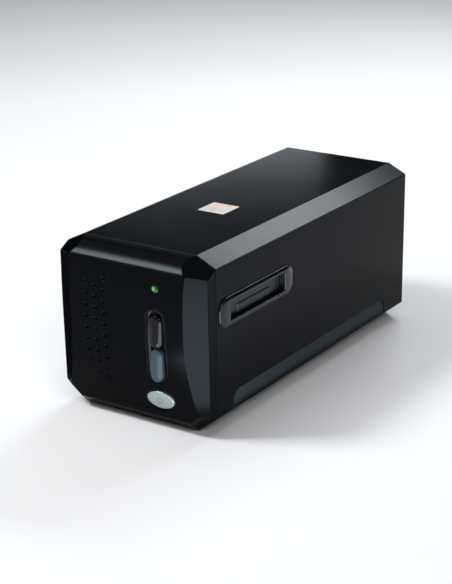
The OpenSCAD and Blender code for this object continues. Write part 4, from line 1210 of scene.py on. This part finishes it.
class SCANNER_OT_front_bezel(ScannerMaker, bpy.types.Operator):
    """Make the crowned front bezel with its pockets and dimples"""

    bl_idname = "scanner.front_bezel"
    bl_label = "Front Bezel"

    def make(self):
        settings = case_settings()
        radius = settings.edge_radius / MM
        planes = bezel_planes(SEAM_Y + SEAM_SPARE)
        outside = cut_at_seam(rounded_body(planes, radius))
        bezel = new_object("front_bezel_shell", outside)
        combine(bezel, "DIFFERENCE", cut_body(planes, WALL))
        self.add_lip_and_posts(bezel, planes)
        self.cut_openings(bezel)
        self.cut_crease(bezel)
        combine(bezel, "DIFFERENCE", self.dimple_bodies())

        def pick(middle, angle):
            if abs(middle.y - SEAM_Y) < 0.01 and depth_inside(middle.x, middle.z) < ON_SKIN:
                return 1
            on_face = abs(middle.y - face_y(middle.z)) < ON_SKIN
            return 1 if on_face and middle.x > 0 else 0

        round_edges(bezel, settings.seam_radius / MM, pick, steps=3, from_angle=60)
        hand_over(bezel, "bezel_charcoal", "case", ["front_bezel"])

    def add_lip_and_posts(self, bezel, planes):
        """The lip that slides into the shells and the posts of the button board"""
        lip = bmesh.new()
        section_ring(lip, WALL - 0.5, WALL + FIT_GAP + LIP_T, SEAM_Y - LIP_D, SEAM_Y)
        ring = new_object("lip_ring", lip)
        combine(ring, "INTERSECT", cut_at_seam(cut_body(planes, WALL - 0.5)))
        bm = bmesh.new()
        bm.from_mesh(ring.data)
        bmesh.ops.scale(bm, vec=(1 / MM,) * 3, verts=bm.verts)
        bpy.data.objects.remove(ring)
        combine(bezel, "UNION", bm)
        tongue = bmesh.new()
        section_ring(tongue, WALL + FIT_GAP, WALL + FIT_GAP + LIP_T, SEAM_Y - 1, SEAM_Y + LIP_D)
        combine(bezel, "UNION", tongue)
        posts = bmesh.new()
        for x, z in self.post_places():
            rod_y(posts, POST_R, face_y(z) + 1, BOARD_Y, x, z)
        combine(bezel, "UNION", posts)

    def post_places(self):
        """Where the four posts of the button board stand, as (x, z)"""
        return [(CONTROL_X + side * POST_X, z) for side in (-1, 1) for z in POST_ZS]

    def cut_crease(self, bezel):
        """The fine dark crease where the brow meets the face"""
        y = face_y(BROW_Z)
        crease = bmesh.new()
        low = (-FACE_X, y - 1, BROW_Z - CREASE_H / 2)
        block(crease, low, (FACE_X, y + CREASE_D, BROW_Z + CREASE_H / 2))
        combine(bezel, "DIFFERENCE", crease)

    def cut_openings(self, bezel):
        """The two pockets, the light's hole and the pilot holes of the posts"""
        cuts = bmesh.new()
        openings = (
            (rounded_outline(POCKET_W, POCKET_LEN, POCKET_W / 2 - 0.001, 24), POCKET_Z),
            (oval_outline(POWER_W, POWER_H), POWER_Z),
            (circle_outline(LIGHT_W / 2), LIGHT_Z),
        )
        for outline, z in openings:
            ends = (FRONT_Y - 1, SEAM_Y)
            loft(cuts, [along_y(outline, y, (CONTROL_X, z)) for y in ends])
        combine(bezel, "DIFFERENCE", cuts)
        pilots = bmesh.new()
        for x, z in self.post_places():
            rod_y(pilots, SCREW_R, BOARD_Y - PILOT_DEPTH, BOARD_Y + 1, x, z, 24)
        combine(bezel, "DIFFERENCE", pilots)

    def dimple_bodies(self):
        """A shallow bowl with a soft rim for each dimple"""
        settings = case_settings()
        deep = settings.dimple_depth / MM
        wide = settings.dimple_radius / MM
        # Shares of the mouth's radius and of the depth, from the floor out past the rim
        bowl = ((0.12, 1.0), (0.35, 0.94), (0.6, 0.74), (0.82, 0.42), (1.0, 0.07), (1.2, -0.4))
        bm = bmesh.new()
        for x, low, high, count in DIMPLE_COLUMNS:
            for i in range(count):
                z = low + (high - low) * i / (count - 1)
                loops = []
                for reach, depth in bowl:
                    y = face_y(z) + depth * deep
                    loops.append(along_y(circle_outline(reach * wide, 20), y, (x, z)))
                loft(bm, loops)
        return bm


class SCANNER_OT_rear_panel(ScannerMaker, bpy.types.Operator):
    """Make the rear panel and its screws"""

    bl_idname = "scanner.rear_panel"
    bl_label = "Rear Panel"

    def make(self):
        def outside(middle, angle):
            return 1 if middle.y > REAR_Y - 2 else 0

        rounded_copy("rear_panel", "rear_panel_plate", 0.3, "case_black", "case", outside)
        rounded_copy("rear_screws", "rear_panel_screws", 0.12, "steel", "case")


class SCANNER_OT_rubber_feet(ScannerMaker, bpy.types.Operator):
    """Make the four rubber feet"""

    bl_idname = "scanner.rubber_feet"
    bl_label = "Rubber Feet"

    def make(self):
        low, high = box_mm("rubber_feet")
        radius = 6.5
        # Drawn in from the foot's side, and height over the floor, from the dished middle up
        profile = (
            (3.4, 0.35), (3.0, 0.05), (1.4, 0.0), (0.8, 0.12), (0.3, 0.5), (0, 1.0), (0, 2.0)
        )
        bm = bmesh.new()
        for x in (low.x + radius, high.x - radius):
            for y in (low.y + radius, high.y - radius):
                loft(bm, [
                    [(x + u, y + v, z) for u, v in circle_outline(radius - drawn_in)]
                    for drawn_in, z in profile
                ])
        feet = new_object("rubber_foot_set", bm)
        hand_over(feet, "rubber_black", "case", ["rubber_feet"])


class SCANNER_OT_top_label(ScannerMaker, bpy.types.Operator):
    """Make the small label on the top, with rounded corners"""

    bl_idname = "scanner.top_label"
    bl_label = "Label"

    def make(self):
        middle = (LABEL_LOW + LABEL_HIGH) / 2
        wide, deep = (LABEL_HIGH - LABEL_LOW).xy
        bm = bmesh.new()
        loops = []
        for drawn_in, z in ((0, LABEL_LOW.z), (0, LABEL_HIGH.z - 0.05), (0.05, LABEL_HIGH.z)):
            outline = rounded_outline(wide - 2 * drawn_in, deep - 2 * drawn_in, 0.8, 4)
            loops.append([(middle.x + u, middle.y + v, z) for u, v in outline])
        loft(bm, loops)
        label = new_object("paper_label", bm)
        hand_over(label, "label_white", "case", ["top_label"])


class SCANNER_OT_slot_frames(ScannerMaker, bpy.types.Operator):
    """Make the raised frames of the two film slots"""

    bl_idname = "scanner.slot_frames"
    bl_label = "Slot Frames"

    def make(self):
        for side, node in ((1, "right_slot_frame"), (-1, "left_slot_frame")):
            bm = bmesh.new()
            loft(bm, self.loops(side), ring=True)
            frame_piece = new_object(node + "_ring", bm)
            combine(frame_piece, "UNION", self.lugs(side))
            hand_over(frame_piece, "frame_gloss", "case", [node], sharp=40)

    def loops(self, side):
        """Loops round the frame: the low edge, the slope, the crest, in and back outside"""
        settings = slot_settings()
        top = FRAME_HIGH.x
        sleeve = FRAME_LOW.x
        edge = settings.rim_round / MM
        roll = settings.crest_round / MM
        swell = settings.swell / MM
        room = (FRAME_LEN - SLOT_LEN) / 2, (FRAME_H - SLOT_H) / 2
        low = HALF_W + FRAME_EDGE
        stations = [(0, 0, HALF_W)]
        for angle in quarter_turn(5):
            inset = edge * (1 - math.cos(angle))
            stations.append((inset, inset, low - edge * (1 - math.sin(angle))))
        for i in range(1, 9):
            part = i / 8
            rise = (top - low) * part + swell * math.sin(math.pi * part)
            insets = [edge + part * (width - CREST_W - edge) for width in room]
            stations.append((*insets, min(top, low + rise)))
        for angle in quarter_turn(5)[1:]:
            inset = CREST_W - roll + roll * math.sin(angle)
            stations.append((
                room[0] - CREST_W + inset,
                room[1] - CREST_W + inset,
                top - roll * (1 - math.cos(angle)),
            ))
        stations.append((room[0], room[1], sleeve + SLEEVE_EASE))
        stations.append((room[0] - SLEEVE_EASE, room[1] - SLEEVE_EASE, sleeve))
        back = room[0] - SLEEVE_T, room[1] - SLEEVE_T
        stations.append((back[0], back[1], sleeve))
        stations.append((back[0], back[1], HALF_W))
        loops = []
        for long_inset, tall_inset, x in stations:
            part = min(1.0, long_inset / (room[0] - CREST_W))
            radius = FRAME_CORNER + (CREST_R - FRAME_CORNER) * part
            if long_inset > room[0] - CREST_W:
                radius = CREST_R + (room[0] - CREST_W - long_inset)
            tall = FRAME_H - 2 * tall_inset
            outline = rounded_outline(
                FRAME_LEN - 2 * long_inset, tall, min(radius, tall / 2 - 0.01), 12
            )
            loops.append([(side * x, SLOT_Y + u, SLOT_Z + v) for u, v in outline])
        return loops

    def lugs(self, side):
        """The two snap lugs behind the case's wall"""
        bm = bmesh.new()
        inner_x = HALF_W - WALL
        reach = SLOT_LEN / 2 + SLEEVE_T
        for end in (-1, 1):
            edges = sorted((side * (inner_x - 0.2 - LUG_REACH), side * (inner_x - 0.2)))
            y = SLOT_Y + end * (reach + 0.5)
            low = (edges[0], y - LUG_T / 2, SLOT_Z - LUG_H / 2)
            block(bm, low, (edges[1], y + LUG_T / 2, SLOT_Z + LUG_H / 2))
        return bm


class SCANNER_OT_doors(ScannerMaker, bpy.types.Operator):
    """Make the two dust doors, their pins and their springs"""

    bl_idname = "scanner.doors"
    bl_label = "Dust Doors"

    def make(self):
        edge = slot_settings().door_edge / MM
        rounded_copy("right_door", "right_door_flap", edge, "door_satin", "right_flap")
        rounded_copy("left_door", "left_door_flap", edge, "door_satin", "left_flap")
        paint_nodes("steel", "door_pins", "right_door_spring", "left_door_spring")


class SCANNER_OT_wells(ScannerMaker, bpy.types.Operator):
    """Make the glossy wells of the buttons"""

    bl_idname = "scanner.wells"
    bl_label = "Button Wells"

    def make(self):
        def pill(drawn_in):
            wide = POCKET_W - 2 * drawn_in
            return rounded_outline(wide, POCKET_LEN - 2 * drawn_in, wide / 2 - 0.001, 24)

        def oval(drawn_in):
            return oval_outline(POWER_W - 2 * drawn_in, POWER_H - 2 * drawn_in)

        liners = []
        for name, outline, z, rim in (
            ("button_well_liner", pill, POCKET_Z, (POCKET_W - BUTTON_W) / 2 - BUTTON_SIDE),
            ("power_well_liner", oval, POWER_Z, POWER_RIM - BUTTON_SIDE),
        ):
            liners.append(self.well(name, outline, z, rim))
        buttons, power = liners
        holes = bmesh.new()
        for z in (LOWER_Z, UPPER_Z):
            wide = BUTTON_W + 2 * BUTTON_SIDE
            hole = rounded_outline(wide, BUTTON_LEN + 2 * BUTTON_SIDE, wide / 2 - 0.001, 20)
            loft(holes, [along_y(hole, y, (CONTROL_X, z)) for y in (FRONT_Y - 1, SEAM_Y)])
        combine(buttons, "DIFFERENCE", holes)
        hand_over(buttons, "gloss_black", "case", ["button_well"])

        hole = bmesh.new()
        outline = oval(POWER_RIM - BUTTON_SIDE)
        loft(hole, [along_y(outline, y, (CONTROL_X, POWER_Z)) for y in (FRONT_Y - 1, SEAM_Y)])
        combine(power, "DIFFERENCE", hole)
        hand_over(power, "gloss_black", "case", ["power_well"])

    def well(self, name, outline, z_middle, rim):
        """A liner: flat land, sloping bevel, wall, floor, and the lip it seats with"""
        corner = control_settings().rim_radius / MM
        bevel = control_settings().bevel_depth / MM
        floor = POCKET_D
        land = 0.42 * rim
        # Drawn in from the pocket's outline, and depth behind the face
        stations = (
            (FIT_GAP, 0.15 + corner), (FIT_GAP + corner * 0.3, 0.15 + corner * 0.3),
            (FIT_GAP + corner, 0.15), (land, 0.17), (land + 0.12, 0.2),
            (rim - 0.32, 0.2 + bevel), (rim - 0.12, 0.32 + bevel), (rim - 0.03, 0.6 + bevel),
            (rim - 0.02, floor - 0.3), (rim + 0.1, floor - 0.05), (rim + 0.4, floor),
        )
        outer = (
            (FIT_GAP, WALL + FIT_GAP), (-WELL_LIP, WALL + FIT_GAP),
            (-WELL_LIP, WALL + FIT_GAP + 1), (FIT_GAP, WALL + FIT_GAP + 1),
            (FIT_GAP, floor + WELL_FLOOR),
        )

        def loop(drawn_in, depth):
            points = [(CONTROL_X + u, z_middle + v) for u, v in outline(drawn_in)]
            return [(x, face_y(z) + depth, z) for x, z in points]

        bm = bmesh.new()
        loops = [loop(*station) for station in reversed(stations)]
        loops += [loop(*station) for station in outer]
        loft(bm, loops)
        return new_object(name, bm)


class SCANNER_OT_scan_buttons(ScannerMaker, bpy.types.Operator):
    """Make the two crowned scan buttons"""

    bl_idname = "scanner.scan_buttons"
    bl_label = "Scan Buttons"

    def make(self):
        for node, z, finish_name, body in (
            ("upper_scan_button", UPPER_Z, "smoke_gloss", "upper_button"),
            ("lower_scan_button", LOWER_Z, "silver_grey", "lower_button"),
        ):
            button = new_object(node + "_cap", self.cap(z))
            hand_over(button, finish_name, body, [node], sharp=42)

    def cap(self, z_middle):
        """Loops from the middle of the crown to the end of the stem, its front upright"""
        edge = control_settings().button_edge / MM
        half = BUTTON_W / 2
        flat_end = BUTTON_LEN / 2 - half

        def crown(across, along):
            """How far the front has fallen back at a point"""
            past_end = max(0.0, abs(along) - flat_end)
            reach = min(half, math.hypot(across, past_end * 0.8))
            return max(0.0, BUTTON_ROUND - math.sqrt(BUTTON_ROUND**2 - reach**2) - 0.1)

        def outline(drawn_in):
            wide = max(0.02, BUTTON_W - 2 * drawn_in)
            return rounded_outline(wide, BUTTON_LEN - 2 * drawn_in, wide / 2 - 0.001, 16)

        def front(drawn_in, depth):
            return [
                (CONTROL_X + u, KEY_Y + depth + crown(u, v), z_middle + v)
                for u, v in outline(drawn_in)
            ]

        loops = [front(half - 0.02, 0)]
        for i in range(9, 0, -1):
            loops.append(front(edge + (half - edge) * i / 10, 0))
        for angle in quarter_turn(5):
            loops.append(front(edge * (1 - math.sin(angle)), edge * (1 - math.cos(angle))))
        loops.append([
            (CONTROL_X + u, face_y(z_middle + v) + FLANGE_DEPTH, z_middle + v)
            for u, v in outline(0)
        ])
        flange = rounded_outline(
            BUTTON_W + 2 * FLANGE_W, BUTTON_LEN + 0.4, BUTTON_W / 2 + FLANGE_W - 0.001, 16
        )
        for depth in (FLANGE_DEPTH, FLANGE_DEPTH + FLANGE_T):
            loops.append([
                (CONTROL_X + u, face_y(z_middle + v) + depth, z_middle + v) for u, v in flange
            ])
        stem = rounded_outline(2 * STEM_R, 2 * STEM_R, STEM_R - 0.001, 16)
        for y in (face_y(z_middle) + FLANGE_DEPTH + FLANGE_T, STEM_END):
            loops.append(along_y(stem, y, (CONTROL_X, z_middle)))
        bm = bmesh.new()
        loft(bm, loops)
        return bm


class SCANNER_OT_power_button(ScannerMaker, bpy.types.Operator):
    """Make the oval power button"""

    bl_idname = "scanner.power_button"
    bl_label = "Power Button"

    def make(self):
        edge = control_settings().button_edge / MM
        wide = POWER_W - 2 * POWER_RIM
        tall = POWER_H - 2 * POWER_RIM

        def loop(drawn_in, depth):
            outline = oval_outline(wide - 2 * drawn_in, tall - 2 * drawn_in)
            points = [(CONTROL_X + u, POWER_Z + v) for u, v in outline]
            return [(x, face_y(z) + depth, z) for x, z in points]

        def dome(inset):
            """The front bulges a little towards its middle"""
            return POWER_DOME - POWER_PROUD - POWER_DOME * (inset / (tall / 2)) ** 0.8

        loops = []
        for i in range(8, 0, -1):
            inset = edge + (tall / 2 - edge - 0.3) * i / 8
            loops.append(loop(inset, dome(inset)))
        for angle in quarter_turn(5):
            inset = edge * (1 - math.sin(angle))
            loops.append(loop(inset, dome(edge) + edge * (1 - math.cos(angle))))
        loops.append(loop(0, FLANGE_DEPTH))
        loops.append(loop(-FLANGE_W, FLANGE_DEPTH))
        loops.append(loop(-FLANGE_W, FLANGE_DEPTH + FLANGE_T))
        stem = circle_outline(STEM_R, 96)
        for y in (face_y(POWER_Z) + FLANGE_DEPTH + FLANGE_T, STEM_END):
            loops.append(along_y(stem, y, (CONTROL_X, POWER_Z)))
        bm = bmesh.new()
        loft(bm, loops)
        button = new_object("power_button_cap", bm)
        hand_over(button, "silver", "power_key", ["power_button"], sharp=42)


class SCANNER_OT_status_light(ScannerMaker, bpy.types.Operator):
    """Make the lens of the status light"""

    bl_idname = "scanner.status_light"
    bl_label = "Status Light"

    def make(self):
        front = LIGHT_LOW.y
        radius = LIGHT_W / 2 - FIT_GAP
        profile = []
        for i in range(1, 8):
            reach = radius * i / 7
            profile.append((reach, front + LIGHT_W - math.sqrt(LIGHT_W**2 - reach**2)))
        face = face_y(LIGHT_Z)
        shoulder = face + WALL + 2 * FIT_GAP
        profile += [
            (radius, shoulder), (radius + 1.15, shoulder), (radius + 1.15, shoulder + 1),
            (radius - 0.65, shoulder + 1), (radius - 0.65, LIGHT_HIGH.y),
        ]
        bm = bmesh.new()
        loft(bm, [
            along_y(circle_outline(reach), y, (CONTROL_X, LIGHT_Z)) for reach, y in profile
        ])
        lens = new_object("status_lens", bm)
        hand_over(lens, "light_green", "case", ["light_pipe"])
        paint_nodes("led_green", "status_led")


class SCANNER_OT_sockets(ScannerMaker, bpy.types.Operator):
    """Make the data socket and the power socket"""

    bl_idname = "scanner.sockets"
    bl_label = "Sockets"

    def make(self):
        rounded_copy("usb_socket", "data_socket_shell", 0.2, "steel", "case")
        rounded_copy("power_socket", "power_socket_shell", 0.2, "parts_black", "case")


INNER_PIECES = (
    ("sheet_steel", "chassis_plate", "right_guide_stand", "left_guide_stand",
     "motor_bracket", "sensor_bracket"),
    ("steel", "chassis_screws", "board_screws", "holder_detent"),
    ("rod_steel", "guide_rods", "lead_screw"),
    ("board_green", "button_board", "sensor_board", "main_board"),
    ("parts_black", "tact_switches", "lower_film_guide", "upper_film_guide", "rod_blocks",
     "head_tray", "mirror_block", "lamp_arm", "lamp_housing", "screw_bearing",
     "home_sensor", "board_chips"),
    ("barrel_black", "lens_barrel"),
    ("motor_grey", "stepper_motor", "lens_clamp"),
    ("bush_brass", "rod_bushes", "board_standoffs"),
    ("mirror_glass", "fold_mirror"),
    ("lens_glass", "lens_elements"),
    ("sensor_ceramic", "image_sensor"),
    ("lamp_white", "lamp_board"),
    ("diffuser_white", "lamp_diffuser"),
    ("nut_cream", "lead_nut"),
    ("cable_grey", "sensor_cable"),
)


def paint_nodes(finish_name, *nodes):
    """Gives CAD nodes that stay as they are their finish"""
    for node in nodes:
        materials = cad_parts[node].data.materials
        materials.clear()
        materials.append(finish(finish_name))


class SCANNER_OT_inner_pieces(ScannerMaker, bpy.types.Operator):
    """Finish the chassis, the film channel, the scan head, the drive and the boards"""

    bl_idname = "scanner.inner_pieces"
    bl_label = "Inner Pieces"

    def make(self):
        for finish_name, *nodes in INNER_PIECES:
            paint_nodes(finish_name, *nodes)


class SCANNER_OT_stage(ScannerMaker, bpy.types.Operator):
    """Set the floor, the soft lights, the surroundings and the camera"""

    bl_idname = "scanner.stage"
    bl_label = "Stage"

    def make(self):
        settings = stage_settings()
        self.lay_floor(settings.floor_size)
        for name, direction, distance, size, power, tone in SOFTBOXES:
            toward = Vector(direction).normalized()
            turn = toward.to_track_quat("Z", "Y").to_euler()
            place = toward * distance + CAMERA_AIM * MM
            self.set_light(name, place, turn, size, getattr(settings, power), tone)
        for name, place, turn, size, power, tone in FLAT_LIGHTS:
            self.set_light(name, place, turn, size, getattr(settings, power), tone)
        self.lay_flag()
        self.colour_surroundings(settings)
        self.place_camera()

    def lay_floor(self, side):
        """A square floor, with that side in metres"""
        bm = bmesh.new()
        half = side / MM / 2
        corners = ((-half, -half), (half, -half), (half, half), (-half, half))
        bm.faces.new([bm.verts.new((x, y, 0)) for x, y in corners])
        floor = new_object("studio_floor", bm)
        floor.data.materials.append(finish("floor_pale"))

    def set_light(self, name, place, turn, size, power, tone):
        """An area light that the camera doesn't see"""
        lamp = bpy.data.lights.new(name, "AREA")
        lamp.shape = "RECTANGLE"
        lamp.size, lamp.size_y = size
        lamp.energy = power
        lamp.color = tone
        hung = bpy.data.objects.new(name, lamp)
        hung.location = place
        hung.rotation_euler = turn
        hung.visible_camera = False
        bpy.context.scene.collection.objects.link(hung)

    def lay_flag(self):
        """A black card on the floor on the left that only reflections see"""
        outline = rounded_outline(FLAG_W, FLAG_LEN, FLAG_CORNER, 4)
        bm = bmesh.new()
        loft(bm, [
            [(FLAG_X + u, FLAG_Y + v, z) for u, v in outline] for z in (FLAG_LOW, FLAG_HIGH)
        ])
        flag = new_object("black_flag", bm)
        flag.data.materials.append(finish("flag_black"))
        flag.visible_camera = False
        flag.visible_diffuse = False
        flag.visible_shadow = False
        flag.visible_transmission = False

    def colour_surroundings(self, settings):
        """Faint even light from all round, and the standard view of the picture's colours"""
        world = bpy.data.worlds.new("studio_surroundings")
        world.use_nodes = True
        background = world.node_tree.nodes["Background"]
        background.inputs["Color"].default_value = (*settings.sky_colour, 1.0)
        background.inputs["Strength"].default_value = settings.sky_strength
        bpy.context.scene.world = world
        bpy.context.scene.view_settings.view_transform = "Standard"

    def place_camera(self):
        """The camera where the photograph was taken from"""
        azimuth = math.radians(CAMERA_AZIMUTH)
        elevation = math.radians(CAMERA_ELEVATION)
        roll = math.radians(CAMERA_ROLL)
        back = Vector((
            math.sin(azimuth) * math.cos(elevation),
            -math.cos(azimuth) * math.cos(elevation),
            math.sin(elevation),
        ))
        level = Vector((math.cos(azimuth), math.sin(azimuth), 0))
        above = back.cross(level)
        right = math.cos(roll) * level + math.sin(roll) * above
        up = -math.sin(roll) * level + math.cos(roll) * above
        aside, down, away = CAMERA_OFFSET
        spot = CAMERA_AIM - aside * right - down * up + away * back
        camera = bpy.data.cameras.new("photo_camera")
        camera.lens = CAMERA_LENS
        camera.sensor_width = 36
        camera.clip_start = 0.01
        holder = bpy.data.objects.new("photo_camera", camera)
        turn = Matrix((right, up, back)).transposed().to_4x4()
        holder.matrix_world = Matrix.Translation(spot * MM) @ turn
        bpy.context.scene.collection.objects.link(holder)
        bpy.context.scene.camera = holder


OPERATORS = (
    SCANNER_OT_stage,
    SCANNER_OT_lower_case,
    SCANNER_OT_top_cover,
    SCANNER_OT_front_bezel,
    SCANNER_OT_rear_panel,
    SCANNER_OT_rubber_feet,
    SCANNER_OT_top_label,
    SCANNER_OT_slot_frames,
    SCANNER_OT_doors,
    SCANNER_OT_wells,
    SCANNER_OT_scan_buttons,
    SCANNER_OT_power_button,
    SCANNER_OT_status_light,
    SCANNER_OT_sockets,
    SCANNER_OT_inner_pieces,
)


class SCANNER_PT_pieces(bpy.types.Panel):
    """The scanner's settings and the button that makes each piece"""

    bl_label = "Film Scanner"
    bl_idname = "SCANNER_PT_pieces"
    bl_space_type = "VIEW_3D"
    bl_region_type = "UI"
    bl_category = "Film Scanner"

    def draw(self, context):
        scene = context.scene
        for group in (
            scene.scanner_case, scene.scanner_controls, scene.scanner_slots, scene.scanner_stage
        ):
            box = self.layout.box()
            for name in group.bl_rna.properties.keys():
                if name not in ("rna_type", "name"):
                    box.prop(group, name)
        for operator in OPERATORS:
            self.layout.operator(operator.bl_idname)


GROUPS = (
    ("scanner_case", CaseSettings),
    ("scanner_controls", ControlSettings),
    ("scanner_slots", SlotSettings),
    ("scanner_stage", StageSettings),
)


def register():
    for name, group in GROUPS:
        bpy.utils.register_class(group)
        setattr(bpy.types.Scene, name, PointerProperty(type=group))
    for made in (*OPERATORS, SCANNER_PT_pieces):
        bpy.utils.register_class(made)


def unregister():
    for made in (SCANNER_PT_pieces, *reversed(OPERATORS)):
        bpy.utils.unregister_class(made)
    for name, group in reversed(GROUPS):
        delattr(bpy.types.Scene, name)
        bpy.utils.unregister_class(group)


def main():
    register()
    for operator in OPERATORS:
        category, name = operator.bl_idname.split(".")
        getattr(getattr(bpy.ops, category), name)()


if __name__ == "__main__":
    main()
